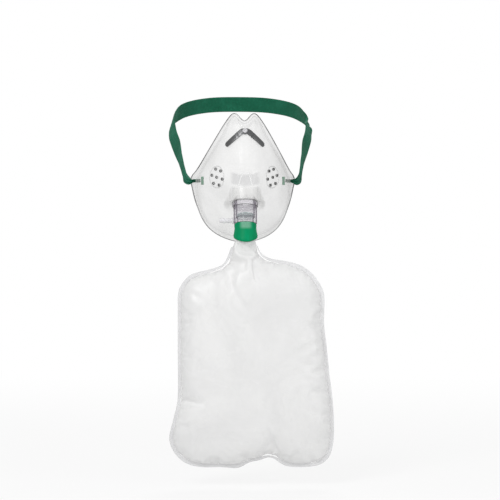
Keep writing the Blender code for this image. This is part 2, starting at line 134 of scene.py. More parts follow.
# ---- small helpers ----
def smooth_curve(points, count):
    """count points evenly spaced along a Catmull-Rom curve through the given points."""
    p = np.asarray(points, float)
    p = np.vstack([2 * p[0] - p[1], p, 2 * p[-1] - p[-2]])
    fine = []
    for i in range(1, len(p) - 2):
        for t in np.linspace(0, 1, 24, endpoint=False):
            a, b, c, d = p[i - 1], p[i], p[i + 1], p[i + 2]
            fine.append(0.5 * (2 * b + (c - a) * t + (2 * a - 5 * b + 4 * c - d) * t * t
                               + (3 * b - a - 3 * c + d) * t ** 3))
    fine = np.array(fine + [p[-2]])
    along = distance_along(fine)
    at = np.linspace(0, along[-1], count)
    return np.stack([np.interp(at, along, fine[:, k]) for k in range(fine.shape[1])], axis=1)


def distance_along(points):
    return np.concatenate([[0], np.cumsum(np.linalg.norm(np.diff(points, axis=0), axis=1))])


def evened(values, passes):
    """The values, changed in place: each inner one is averaged with its neighbours, so many times."""
    for _ in range(passes):
        values[1:-1] = (values[:-2] + 2 * values[1:-1] + values[2:]) / 4
    return values


def unit(v):
    v = np.asarray(v, float)
    return v / np.maximum(np.linalg.norm(v, axis=-1, keepdims=True), 1e-12)


def smooth_step(t):
    t = np.clip(t, 0, 1)
    return t * t * (3 - 2 * t)


def bump(distance, width):
    """1 at distance 0, falling smoothly to 0 at the width."""
    return 1 - smooth_step(np.abs(distance) / width)


def add_piece(name, mesh, *materials):
    obj = bpy.data.objects.new(name, mesh)
    bpy.context.scene.collection.objects.link(obj)
    for mat in materials:
        obj.data.materials.append(mat)
    return obj


def stands_for(piece, body, slot, *nodes):
    """The piece rides on the body and is shown instead of the nodes. The slot is not used."""
    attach(piece, body)
    if nodes:
        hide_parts(*nodes)


def show(name, mesh, mat, body, slot, *nodes):
    stands_for(add_piece(name, mesh, mat), body, slot, *nodes)


def finished(bm, smooth=True):
    """The bmesh turned into a mesh and freed."""
    mesh = bpy.data.meshes.new("mesh")
    bm.to_mesh(mesh)
    bm.free()
    if smooth:
        mesh.shade_smooth()
    return mesh


def mesh_of(loops, closed_tube=False, smooth_angle=40, uv_scale=None):
    """A mesh through loops of equal point count, in order. closed_tube joins the last loop to the first."""
    bm = bmesh.new()
    uv = bm.loops.layers.uv.new("UVMap") if uv_scale else None
    rings = [[bm.verts.new(Vector(p) * MM) for p in loop] for loop in loops]
    n = len(rings[0])
    pairs = [(k, k + 1) for k in range(len(rings) - 1)]
    if closed_tube:
        pairs.append((len(rings) - 1, 0))
    for low, high in pairs:
        for i in range(n):
            j = (i + 1) % n
            face = bm.faces.new((rings[low][i], rings[low][j], rings[high][j], rings[high][i]))
            if uv:
                up = high if high > low else len(rings)
                for corner, (s, t) in zip(face.loops, ((i, low), (i + 1, low), (i + 1, up), (i, up))):
                    corner[uv].uv = (s * uv_scale[0], t * uv_scale[1])
    if not closed_tube:
        bm.faces.new(list(reversed(rings[0])))
        bm.faces.new(rings[-1])
    bmesh.ops.recalc_face_normals(bm, faces=bm.faces)
    mesh = finished(bm)
    mesh.set_sharp_from_angle(angle=math.radians(smooth_angle))
    return mesh


def circle_loops(profile, steps):
    angles = [2 * math.pi * k / steps for k in range(steps)]
    return [[(r * math.cos(a), r * math.sin(a), z) for a in angles] for r, z in profile]


def rounded(profile, radius=0.25, closed=True):
    """The profile with each corner replaced by a short arc of three points."""
    p = np.array(profile, float)
    out = []
    n = len(p)
    for k in range(n):
        if not closed and k in (0, n - 1):
            out.append(tuple(p[k]))
            continue
        before, here, after = p[k - 1], p[k], p[(k + 1) % n]
        a, b = before - here, after - here
        la, lb = np.linalg.norm(a), np.linalg.norm(b)
        r = min(radius, la * 0.4, lb * 0.4)
        one, two = here + a / la * r, here + b / lb * r
        middle = (one + two) / 2 * 0.4 + here * 0.6
        if r < 0.03:
            out.append(tuple(here))
        else:
            out.extend([tuple(one), tuple(middle), tuple(two)])
    return out


def turned(profile, steps, radius, matrix=None, smooth_angle=32, uv_scale=None):
    """A ring about local Z from a closed profile of (radius, height) points, with rounded corners."""
    mesh = mesh_of(circle_loops(rounded(profile, radius), steps), True, smooth_angle, uv_scale)
    if matrix is not None:
        mesh.transform(matrix)
    return mesh


def solid_turned(profile, steps, radius=0.15, matrix=None, smooth_angle=32):
    """A solid about local Z from an open profile of (radius, height) points, capped at both ends."""
    mesh = mesh_of(circle_loops(rounded(profile, radius, closed=False), steps), smooth_angle=smooth_angle)
    if matrix is not None:
        mesh.transform(matrix)
    return mesh


def joined(meshes):
    """One mesh holding all of the given closed meshes."""
    bm = bmesh.new()
    for mesh in meshes:
        bm.from_mesh(mesh)
        bpy.data.meshes.remove(mesh)
    return finished(bm, smooth=False)


def cut_out(obj, tool_mesh):
    tool = add_piece(obj.name + "_tool", tool_mesh)
    modifier = obj.modifiers.new("cut", "BOOLEAN")
    modifier.operation = "DIFFERENCE"
    modifier.solver = "EXACT"
    modifier.object = tool
    modifier.use_self = False
    apply_modifiers(obj)
    bpy.data.objects.remove(tool)


def apply_modifiers(obj):
    """Replaces the object's mesh by what its modifiers make of it."""
    bpy.context.view_layer.update()
    graph = bpy.context.evaluated_depsgraph_get()
    made = bpy.data.meshes.new_from_object(obj.evaluated_get(graph), preserve_all_data_layers=True,
                                           depsgraph=graph)
    obj.modifiers.clear()
    old, obj.data = obj.data, made
    bpy.data.meshes.remove(old)


# ---- the inlet axis, and the nipple's axis in the inlet's frame ----
INLET = Matrix.Translation(Vector(BOSS_CENTRE) * MM) @ Matrix.Rotation(math.radians(-BOSS_TILT), 4, "X")
NIPPLE = Matrix.Translation(Vector((0, 0, NIPPLE_LEVEL)) * MM) @ Matrix.Rotation(math.radians(90), 4, "Y")


def inlet_point(x, y, z):
    """A point of the inlet frame in the object's frame, mm."""
    c, s = math.cos(math.radians(BOSS_TILT)), math.sin(math.radians(BOSS_TILT))
    return np.array(BOSS_CENTRE) + np.array([x, y * c + z * s, -y * s + z * c])


# ---- the shell's shape ----
def station_value(stations, z):
    fine = smooth_curve(stations, 240)
    return np.interp(z, fine[:, 0], fine[:, 1])


def face_depth(x, z):
    return station_value(FACE_CENTRE, z) - FACE_CURVE * np.asarray(x) ** 2


def outline_loop(n):
    """n points (x, z) around the outline from the notch by +X to the chin and back, closer at the notch."""
    fine = smooth_curve(OUTLINE, 1600)
    length = np.linalg.norm(np.diff(fine, axis=0), axis=1)
    weight = length * (1 + 2.2 * smooth_step((fine[1:, 1] - 48) / 14))
    along = np.concatenate([[0], np.cumsum(weight)])
    at = np.linspace(0, along[-1], n // 2 + 1)
    half = np.stack([np.interp(at, along, fine[:, k]) for k in (0, 1)], axis=1)
    left = half[-2:0:-1] * np.array([-1, 1])
    return np.vstack([half, left])


def inward_of(loop):
    along = unit(np.roll(loop, -1, axis=0) - np.roll(loop, 1, axis=0))
    inward = np.stack([along[:, 1], -along[:, 0]], axis=1)
    return inward * np.sign((inward * (np.array(DOME_CENTRE) - loop)).sum(axis=1))[:, None]


def flange_inset(loop):
    """The outline moved inwards by the flange's width, measured along the face."""
    inward = inward_of(loop)
    slope = face_depth(*(loop + inward).T) - face_depth(*loop.T)
    width = FLANGE_WIDTH - 3.0 * smooth_step((loop[:, 1] - 50) / 14)
    width += EYELET_TAB * np.exp(-((loop[:, 1] - 0.5) / 9) ** 2)
    return loop + inward * (width / np.sqrt(1 + slope ** 2))[:, None]


def on_face(loop, lift):
    return np.stack([loop[:, 0], -face_depth(loop[:, 0], loop[:, 1]) - lift, loop[:, 1]], axis=1)


def ledge_radius(angle):
    """The boss is round in front; behind, its ledge squares off to meet the chin panel."""
    return BOSS_R / np.where(np.sin(angle) > 0, 1.0, (np.cos(angle) ** 4 + np.sin(angle) ** 4) ** 0.25)


def below_ledge(angle):
    rise = np.degrees(np.arcsin(np.sin(angle)))
    return 200 * (1 - smooth_step((rise + 18) / 40))


def dome_rings(inner_edge, shares):
    """Rings over the dome, from the flange's inner edge up to the rim of the inlet boss."""
    centre = DOME_CENTRE
    base = inner_edge[:, [0, 2]]
    angle = np.arctan2(base[:, 1] - centre[1], base[:, 0] - centre[0])
    end = np.array([inlet_point(r * math.cos(a), -r * math.sin(a), 0)
                    for a, r in zip(angle, ledge_radius(angle))])
    t = np.linspace(0, 1, 161)[:, None]
    x = base[:, 0] * (1 - t) + end[:, 0] * t
    z = base[:, 1] * (1 - t) + end[:, 2] * t
    reach = np.hypot(base[:, 0] - centre[0], base[:, 1] - centre[1])
    notch = (np.abs(base[:, 0]) < NOTCH_HALF) & (base[:, 1] > 0)
    reach[notch] = reach[(np.abs(base[:, 0]) < NOTCH_HALF + 4) & (base[:, 1] > 0)].max()
    outness = np.clip(np.hypot(x - centre[0], z - centre[1]) / reach, 0, 1)
    side = (1 - outness ** 2) ** DOME_POWER
    depth = face_depth(x, z) + FLANGE_LIFT * (1 - t) + station_value(DOME_HEIGHT, z) * side
    lean = math.tan(math.radians(BOSS_TILT))
    axis_depth = -BOSS_CENTRE[1] - lean * (z - BOSS_CENTRE[2])
    round_front = np.sqrt(np.maximum(BOSS_R ** 2 - x ** 2, 0))
    wall = BOSS_WALL_SLOPE * np.maximum(np.abs(x) - BOSS_R, 0)
    boss = axis_depth + round_front - wall - below_ledge(angle)
    mix = np.clip(0.5 + 0.5 * (boss - depth) / BOSS_BLEND, 0, 1)
    depth = depth * (1 - mix) + boss * mix + BOSS_BLEND * mix * (1 - mix)
    near = 1 - EDGE_BLEND / np.hypot(base[:, 0] - end[:, 0], base[:, 1] - end[:, 2])
    depth += (-end[:, 1] - depth[-1]) * smooth_step((t - near) / (1 - near))
    depth += (-inner_edge[:, 1] - depth[0]) * (1 - smooth_step(t / 0.1))
    depth += shell_relief(x, z)
    points = np.stack([x, -depth, z], axis=2)
    step = np.linalg.norm(np.diff(points, axis=0), axis=2)
    along = np.concatenate([np.zeros((1, step.shape[1])), np.cumsum(step, axis=0)]) / step.sum(axis=0)
    rings = [np.array([[np.interp(share, along[:, i], points[:, i, k]) for k in range(3)]
                       for i in range(len(base))]) for share in shares]
    return rings, end, angle


def shell_relief(x, z):
    """Shallow moulded relief: the ridge's end above the boss, its two ribs and the cheek creases, mm."""
    ridge = 0.9 * bump(np.abs(x) - 3.5, 6.0) * smooth_step((z - 4) / 5) * (1 - smooth_step((z - 36) / 12))
    shelf = -1.1 * bump(x, 15.5) * smooth_step((z + 11) / 5) * (1 - smooth_step((z - 3) / 3.5))
    ribs = sum(0.8 * bump(x - side * (3.6 + (5 - z) * 0.28), 1.5) for side in (-1, 1))
    ribs = ribs * smooth_step((z + 7) / 3) * (1 - smooth_step((z - 3) / 3))
    cheeks = sum(0.5 * bump(x - side * (17.0 - 0.12 * (z + 8)), 2.6) for side in (-1, 1))
    cheeks = cheeks * smooth_step((z + 24) / 8) * (1 - smooth_step((z - 2) / 12))
    return ridge + shelf + ribs + cheeks


def ring_in_inlet(angles, radius, height):
    return np.array([inlet_point(radius * math.cos(a), -radius * math.sin(a), height) for a in angles])


def thickened(rings, wall, passes):
    """The rings moved to the face side by the wall, with mitred corners."""
    p = np.array(rings)
    around = np.roll(p, -1, axis=1) - np.roll(p, 1, axis=1)
    steps = np.diff(p, axis=0)
    quads = unit(np.cross(around[:-1] + around[1:], steps))
    before, after = np.concatenate([quads[:1], quads]), np.concatenate([quads, quads[-1:]])
    normal = unit(before + after)
    mitre = np.maximum((normal * after).sum(axis=2), 0.6)[..., None]
    for _ in range(passes):
        normal = unit(np.roll(normal, 1, axis=1) + 2 * normal + np.roll(normal, -1, axis=1))
    outward = np.sign((normal * np.array([0, -1.0, 0])).sum())
    return list(p - outward * normal * wall / mitre)


def shell_loops():
    """Rings over the outside from the rim to the boss, down and up the boss's collar, and over the inside."""
    outline = outline_loop(MERIDIANS)
    inset = flange_inset(outline)
    inward = inward_of(outline)
    # The flange's rim is rolled: a lip that stands proud of the flange in front, then the flat land.
    edge = on_face(outline, -0.1)
    lip = [on_face(outline + inward * 0.25, 0.55), on_face(outline + inward * 0.9, 0.7),
           on_face(outline + inward * 1.5, 0.3)]
    land = [on_face(outline * (1 - s) + inset * s, lift)
            for s, lift in ((0.4, 0.15), (0.7, 0.35), (0.93, 0.75))]
    inner_edge = on_face(inset, FLANGE_LIFT)
    shares = np.linspace(0, 1, DOME_RINGS + 1)[1:-1]
    dome, boss_rim, angles = dome_rings(inner_edge, shares)
    outer = [edge, *lip, *land, inner_edge, *dome, boss_rim]
    ledge = ring_in_inlet(angles, INLET_COLLAR_R, 0)
    flat = [on_face(outline, 0.0), *[on_face(outline + inward * w, 0.05) for w in (0.25, 0.9, 1.5)],
            *land, inner_edge, *dome, boss_rim]
    inner = thickened([*flat, ledge], SHELL_WALL, 8)[:-1]
    collar = [ring_in_inlet(angles, r, z) for r, z in (
        (BOSS_R - 0.5, -0.25), (INLET_COLLAR_R + 0.4, 0), (INLET_COLLAR_R, -0.4),
        (INLET_COLLAR_R, -INLET_COLLAR_LENGTH + 0.4), (INLET_COLLAR_R - 0.3, -INLET_COLLAR_LENGTH),
        (INLET_BORE_R + 0.3, -INLET_COLLAR_LENGTH), (INLET_BORE_R, -INLET_COLLAR_LENGTH + 0.4),
        (INLET_BORE_R, SHELL_WALL - 0.3), (INLET_BORE_R + 0.3, SHELL_WALL))]
    return outer, collar, inner


def surface_of(rings):
    """A search tree of the shell's outer surface, in mm."""
    n = len(rings[0])
    points = [Vector(p) for ring in rings for p in ring]
    faces = [(k * n + i, k * n + (i + 1) % n, (k + 1) * n + (i + 1) % n, (k + 1) * n + i)
             for k in range(len(rings) - 1) for i in range(n)]
    return BVHTree.FromPolygons(points, faces)


def touch(tree, x, z):
    """The point and outward normal of the shell's outer surface at (x, z), seen from the front."""
    point, normal, _, _ = tree.ray_cast(Vector((x, -200, z)), Vector((0, 1, 0)))
    return point, (normal if normal.y < 0 else -normal)


def aim(point, normal):
    """A placing matrix with local Z along the normal."""
    return Matrix.Translation(point * MM) @ normal.to_track_quat("Z", "Y").to_matrix().to_4x4()


def port_frame(tree, side):
    point, normal = touch(tree, side * PORT_X, PORT_Z)
    up = (Vector((0, 0, 1)) - normal * normal.z).normalized()
    return point, normal, up.cross(normal), up


def around_port(tree, side, radius, count, start):
    """Points on the surface on a circle about the port's middle, with the outward normal there."""
    point, normal, across, up = port_frame(tree, side)
    for k in range(count):
        a = 2 * math.pi * k / count + start
        near = point + (across * math.cos(a) + up * math.sin(a)) * radius
        spot, there, _, _ = tree.find_nearest(near)
        yield spot, (there if there.y < 0 else -there)


def port_centres(tree, side):
    """The seven vent holes of one side: one in the middle and six around it on the surface."""
    point, normal, _, _ = port_frame(tree, side)
    yield point, normal
    for spot, _ in around_port(tree, side, PORT_RING_R, 6, math.radians(15 * side)):
        yield spot, normal


# ---- materials ----
class Paint:
    """A material with one Principled shader, and short ways to feed its sockets from procedural patterns."""

    def __init__(self, name, colour, roughness, metallic=0.0, **constants):
        self.mat = bpy.data.materials.new(name)
        self.mat.use_nodes = True
        self.nodes, self.links = self.mat.node_tree.nodes, self.mat.node_tree.links
        self.shader = self.nodes["Principled BSDF"]
        constants |= {"Base_Color": (*colour, 1.0), "Roughness": roughness, "Metallic": metallic}
        for socket, value in constants.items():
            self.shader.inputs[socket.replace("_", " ")].default_value = value
        self.coordinates = self.nodes.new("ShaderNodeTexCoord")

    def link(self, output, socket):
        self.links.new(output, self.shader.inputs[socket])

    def node(self, kind, output, inputs, **settings):
        """A new node's output. The inputs are numbers, or the outputs of other nodes."""
        node = self.nodes.new("ShaderNode" + kind)
        for name, value in settings.items():
            setattr(node, name, value)
        for socket, value in inputs.items():
            if isinstance(value, bpy.types.NodeSocket):
                self.links.new(value, node.inputs[socket])
            else:
                node.inputs[socket].default_value = value
        return node.outputs[output]

    def scaled(self, stretch, source):
        return self.node("Mapping", "Vector", {"Scale": stretch, "Vector": self.coordinates.outputs[source]})

    def noise(self, scale, detail, stretch=(1, 1, 1), source="Object", distortion=0.0):
        return self.node("TexNoise", "Fac", {"Scale": scale, "Detail": detail, "Distortion": distortion,
                                             "Vector": self.scaled(stretch, source)})

    def wave(self, scale, direction, distortion):
        """Bands across U (X) or V (Y)."""
        return self.node("TexWave", "Fac", {"Scale": scale, "Distortion": distortion,
                                            "Vector": self.scaled((1, 1, 1), "UV")},
                         wave_type="BANDS", bands_direction=direction)

    def facing(self, blend):
        return self.node("LayerWeight", "Facing", {"Blend": blend})

    def place(self, axis):
        """How far along X, Y or Z a point lies, in metres."""
        return self.node("SeparateXYZ", axis, {"Vector": self.coordinates.outputs["Object"]})

    def spread(self, value, low, high, to_low=0.0, to_high=1.0):
        """to_low where the value is at low, to_high where it is at high, and a smooth step between them."""
        return self.node("MapRange", "Result", {"Value": value, "From Min": low, "From Max": high,
                                                "To Min": to_low, "To Max": to_high},
                         interpolation_type="SMOOTHSTEP")

    def vary(self, socket, scale, detail, low, high):
        """The socket wanders between two numbers."""
        self.link(self.spread(self.noise(scale, detail), 0.3, 0.7, low, high), socket)

    def calc(self, operation, *values):
        return self.node("Math", "Value", dict(enumerate(values)), operation=operation)

    def times(self, a, b):
        return self.calc("MULTIPLY", a, b)

    def plus(self, a, b):
        return self.calc("ADD", a, b)

    def band(self, value, low, high, soft):
        """1 where the value lies from low to high, with soft ends."""
        return self.times(self.spread(value, low - soft, low + soft),
                          self.spread(value, high - soft, high + soft, 1, 0))

    def blend(self, share, one, two):
        """Colours or sockets mixed by a share."""
        one, two = ((*value, 1.0) if isinstance(value, tuple) else value for value in (one, two))
        return self.node("Mix", 2, {0: share, 6: one, 7: two}, data_type="RGBA")

    def bump(self, height, distance, strength, after=None):
        inputs = {"Strength": strength, "Distance": distance, "Height": height}
        return self.node("Bump", "Normal", inputs | ({"Normal": after} if after else {}))


def clear_vinyl():
    """Soft clear PVC: milky where it is seen edge on, and there painted grey to near black as painted shade
    for the dark refraction along its edges; faintly mottled, with a fine moulded grain.
    """
    p = Paint("clear_vinyl", (0.8, 0.82, 0.82), 0.18, IOR=1.48)
    edge = p.facing(0.35)
    cloud = p.noise(38, 4)
    # Painted shade: seen edge on, the wall turns grey, standing in for dark refraction.
    tint = p.blend(p.spread(edge, 0.15, 0.6), (0.80, 0.80, 0.79), (0.62, 0.62, 0.61))
    body = p.plus(p.spread(cloud, 0.3, 0.7, 0.19, 0.26), p.spread(edge, 0.35, 0.97, 0.0, 0.42))
    x, z = p.calc("ABSOLUTE", p.place("X")), p.place("Z")
    # Painted shade and highlights: where the wall steps inwards above the inlet, a grey panel is painted on,
    # with thin grey lines along the boss's sides and two ribs painted white; the boss under it is thick and
    # milky.
    bent = p.calc("SUBTRACT", z, p.times(p.times(x, x), 14.0))
    panel = p.times(p.band(bent, -0.0085, 0.0035, 0.0016), p.band(x, -1, 0.0148, 0.0026))
    rib_x = p.calc("SUBTRACT", x, p.plus(p.times(z, -0.30), 0.0050))
    ribs = p.times(p.band(bent, -0.0085, 0.0030, 0.0012), p.band(rib_x, -0.0006, 0.0006, 0.0004))
    sides = p.times(p.band(z, -0.0215, -0.010, 0.005), p.band(x, 0.0130, 0.0137, 0.0007))
    boss = p.times(p.band(z, -0.030, -0.0095, 0.002), p.band(x, -1, 0.0135, 0.0015))
    # Painted shade: the wall grows more solid, and so greyer, towards the chin.
    chin = p.spread(z, -0.062, -0.028, 0.10, 0.0)
    # Painted shade on the panel and along the boss's sides.
    dark = p.calc("MAXIMUM", p.times(panel, 0.65), p.times(sides, 0.6))
    tone = p.blend(dark, tint, (0.40, 0.40, 0.41))
    # Painted highlights: the two ribs are painted white.
    tone = p.blend(ribs, tone, (1.0, 1.0, 1.0))
    # Painted shade: near black where the wall is seen fully edge on.
    p.link(p.blend(p.spread(edge, 0.62, 0.97), tone, (0.34, 0.34, 0.34)), "Base Color")
    more = p.plus(p.plus(p.times(dark, 0.15), p.times(ribs, 0.4)), p.times(boss, 0.26))
    p.link(p.plus(p.plus(body, chin), more), "Alpha")
    p.vary("Roughness", 160, 2, 0.12, 0.26)
    grain = p.bump(p.noise(900, 2), 0.00004, 0.25)
    p.link(p.bump(cloud, 0.0006, 0.12, grain), "Normal")
    return p.mat


def vinyl_rim(name, dark, pale, alpha):
    """The same PVC at the rolled rim and the flange's inner fold, painted dark: painted shade standing in for
    the dark refraction lines along them.
    """
    p = Paint(name, pale, 0.2, IOR=1.48)
    cloud = p.noise(45, 3)
    p.link(p.blend(p.spread(cloud, 0.35, 0.65), dark, pale), "Base Color")
    solid = p.spread(cloud, 0.3, 0.7, alpha + 0.12, alpha - 0.12)
    # The painted lines grow fainter towards the bottom.
    p.link(p.times(solid, p.spread(p.place("Z"), -0.045, 0.005, 0.62, 1.0)), "Alpha")
    p.vary("Roughness", 300, 2, 0.1, 0.3)
    return p.mat


def vent_painted_shade():
    """The inside of the vent holes, painted near black: painted shade in the holes."""
    p = Paint("vent_painted_shade", (0.035, 0.035, 0.037), 0.4)
    p.link(p.blend(p.noise(300, 2), (0.07, 0.068, 0.07), (0.20, 0.198, 0.20)), "Base Color")
    p.vary("Alpha", 200, 2, 0.72, 0.9)
    p.vary("Roughness", 500, 2, 0.3, 0.5)
    return p.mat


def dotted_vinyl():
    """The fine raised dots round each patch of vents."""
    p = Paint("dotted_vinyl", (0.4, 0.4, 0.4), 0.25, Alpha=0.65)
    p.link(p.blend(p.noise(400, 2), (0.22, 0.22, 0.22), (0.6, 0.6, 0.59)), "Base Color")
    p.vary("Roughness", 300, 2, 0.15, 0.35)
    return p.mat


def aluminium():
    """Rolled soft aluminium strip: fine lines along it, small dents and dull scratches."""
    p = Paint("aluminium", (0.42, 0.43, 0.44), 0.34, metallic=1.0)
    lines = p.noise(900, 2, (1, 1, 1), "UV")
    rolled = p.noise(60, 3, (1, 40, 1), "UV")
    p.link(p.blend(p.times(lines, rolled), (0.13, 0.132, 0.135), (0.42, 0.425, 0.43)), "Base Color")
    p.link(p.spread(rolled, 0.3, 0.7, 0.24, 0.44), "Roughness")
    fine = p.bump(rolled, 0.00005, 0.5)
    p.link(p.bump(p.noise(220, 2), 0.0002, 0.2, fine), "Normal")
    return p.mat


def clear_rigid(name, body, wall, alpha, turn=(0.26, 0.66), solid=0.6):
    """Hard clear plastic. turn says where, as the wall turns edge on, it grows dark and solid: the dark wall
    colour is painted shade, standing in for the dark refraction at the plastic's edges.
    """
    p = Paint(name, body, 0.06, IOR=1.55, Specular_IOR_Level=0.26)
    edge = p.facing(0.4)
    flow = p.noise(70, 3, (1, 1, 0.25), distortion=0.6)
    p.link(p.blend(p.spread(edge, *turn), body, wall), "Base Color")
    p.link(p.plus(p.spread(flow, 0.3, 0.7, alpha, alpha + 0.07), p.spread(edge, *turn, 0.0, solid)), "Alpha")
    p.vary("Roughness", 240, 2, 0.03, 0.10)
    p.link(p.bump(flow, 0.0002, 0.25), "Normal")
    return p.mat


def silicone():
    """The valve's soft disc: pale teal and half clear."""
    p = Paint("silicone", (0.55, 0.72, 0.68), 0.35)
    p.link(p.blend(p.noise(180, 3), (0.46, 0.70, 0.62), (0.60, 0.84, 0.76)), "Base Color")
    p.vary("Alpha", 90, 2, 0.5, 0.62)
    p.vary("Roughness", 260, 2, 0.28, 0.45)
    p.link(p.bump(p.noise(700, 2), 0.00005, 0.3), "Normal")
    return p.mat


def green_vinyl():
    """Moulded green PVC of the bag's collar: satin, with fine drag marks."""
    p = Paint("green_vinyl", (0.0, 0.26, 0.1), 0.34, Specular_IOR_Level=0.09)
    cloud = p.noise(90, 4)
    drag = p.noise(200, 3, (1, 1, 0.12), distortion=0.4)
    base = p.blend(cloud, (0.0, 0.235, 0.085), (0.0, 0.32, 0.135))
    base = p.blend(p.spread(drag, 0.45, 0.8, 0.0, 0.35), base, (0.0, 0.42, 0.20))
    # On the stretched upper lip a paler patch is painted in the middle: a painted highlight.
    lip = p.spread(p.place("Z"), -0.0545, -0.0508)
    lip_painted_highlight = p.times(lip, p.spread(p.calc("ABSOLUTE", p.place("X")), 0.0030, 0.0075, 0.42, 0.0))
    p.link(p.blend(lip_painted_highlight, base, (0.40, 0.62, 0.52)), "Base Color")
    p.link(p.spread(drag, 0.3, 0.7, 0.38, 0.56), "Roughness")
    grain = p.bump(p.noise(1100, 2), 0.00004, 0.35)
    p.link(p.bump(drag, 0.00025, 0.3, grain), "Normal")
    return p.mat


def green_elastic():
    """Woven elastic: rubber ribs along the band, fine weft across it, with painted shade in the grooves."""
    p = Paint("green_elastic", (0.02, 0.16, 0.09), 0.72, Sheen_Weight=0.06, Sheen_Roughness=0.5,
              Specular_IOR_Level=0.2)
    weave_and_groove_shade = p.times(p.wave(3.6, "Y", 0.5), p.wave(5.5, "X", 0.25))
    fluff = p.noise(500, 4)
    # Painted shade: the weave is darker where its bump is low, in the grooves.
    base = p.blend(weave_and_groove_shade, (0.003, 0.095, 0.048), (0.014, 0.235, 0.128))
    p.link(p.blend(p.spread(p.noise(40, 3), 0.35, 0.75, 0.0, 0.5), base, (0.028, 0.25, 0.15)), "Base Color")
    p.link(p.spread(fluff, 0.3, 0.7, 0.6, 0.85), "Roughness")
    p.link(p.bump(fluff, 0.00006, 0.5, p.bump(weave_and_groove_shade, 0.00016, 0.8)), "Normal")
    return p.mat


def bag_film():
    """Frosted vinyl film: milky, cloudier in patches, with fine scuffs and a soft gloss; painted greyer where
    it is seen edge on, a painted shade.
    """
    p = Paint("bag_film", (0.9, 0.9, 0.9), 0.32, IOR=1.45)
    cloud = p.noise(13, 4, distortion=0.8)
    edge = p.facing(0.4)
    tint = p.blend(p.spread(cloud, 0.3, 0.7), (0.86, 0.86, 0.86), (0.96, 0.96, 0.955))
    # Painted shade: the film turns greyer where it is seen edge on.
    p.link(p.blend(p.spread(edge, 0.7, 0.99, 0.0, 0.4), tint, (0.74, 0.74, 0.74)), "Base Color")
    p.link(p.plus(p.spread(cloud, 0.3, 0.7, 0.50, 0.60), p.spread(edge, 0.6, 0.98, 0.0, 0.08)), "Alpha")
    p.link(p.spread(p.noise(40, 3), 0.3, 0.75, 0.20, 0.38), "Roughness")
    scuff = p.bump(p.noise(420, 3), 0.00003, 0.2)
    p.link(p.bump(p.noise(24, 3, distortion=0.5), 0.0012, 0.12, scuff), "Normal")
    return p.mat


def weld_film():
    """The pressed weld along the bag's edge: two sheets made one, greyer than the film beside it."""
    p = Paint("weld_film", (0.9, 0.9, 0.9), 0.22)
    p.link(p.blend(p.noise(60, 3), (0.76, 0.76, 0.77), (0.86, 0.86, 0.87)), "Base Color")
    p.vary("Alpha", 45, 2, 0.44, 0.54)
    p.vary("Roughness", 200, 2, 0.22, 0.32)
    p.link(p.bump(p.noise(1500, 2), 0.00004, 0.15), "Normal")
    return p.mat


VIOLET = (0.74, 0.70, 0.78)
VINYL, GREEN, ELASTIC, METAL = clear_vinyl(), green_vinyl(), green_elastic(), aluminium()
SILICONE, FILM_MAT, WELD, VENT_SHADE, DOTS = silicone(), bag_film(), weld_film(), vent_painted_shade(), dotted_vinyl()
# Painted shade: the clear rigid finishes turn dark where seen edge on.
RIGID = clear_rigid("clear_rigid", VIOLET, (0.16, 0.13, 0.18), 0.12)
# The rim and fold finishes are painted shade: dark lines standing in for refraction along the shell's rim and
# inner fold.
RIM = vinyl_rim("vinyl_rim", (0.05, 0.05, 0.052), (0.20, 0.20, 0.20), 0.80)
FOLD = vinyl_rim("vinyl_fold", (0.36, 0.36, 0.36), (0.62, 0.62, 0.62), 0.5)
BARB = clear_rigid("clear_barb", (0.98, 0.97, 1.0), (0.20, 0.18, 0.22), 0.38, (0.50, 0.80))
# Painted shade: the bore's finish turns near black inside the tube.
BORE = clear_rigid("clear_bore", VIOLET, (0.05, 0.035, 0.06), 0.10, (0.30, 0.60), 0.8)
VALVE = clear_rigid("clear_valve", (0.80, 0.92, 0.88), (0.62, 0.80, 0.75), 0.16, solid=0.4)


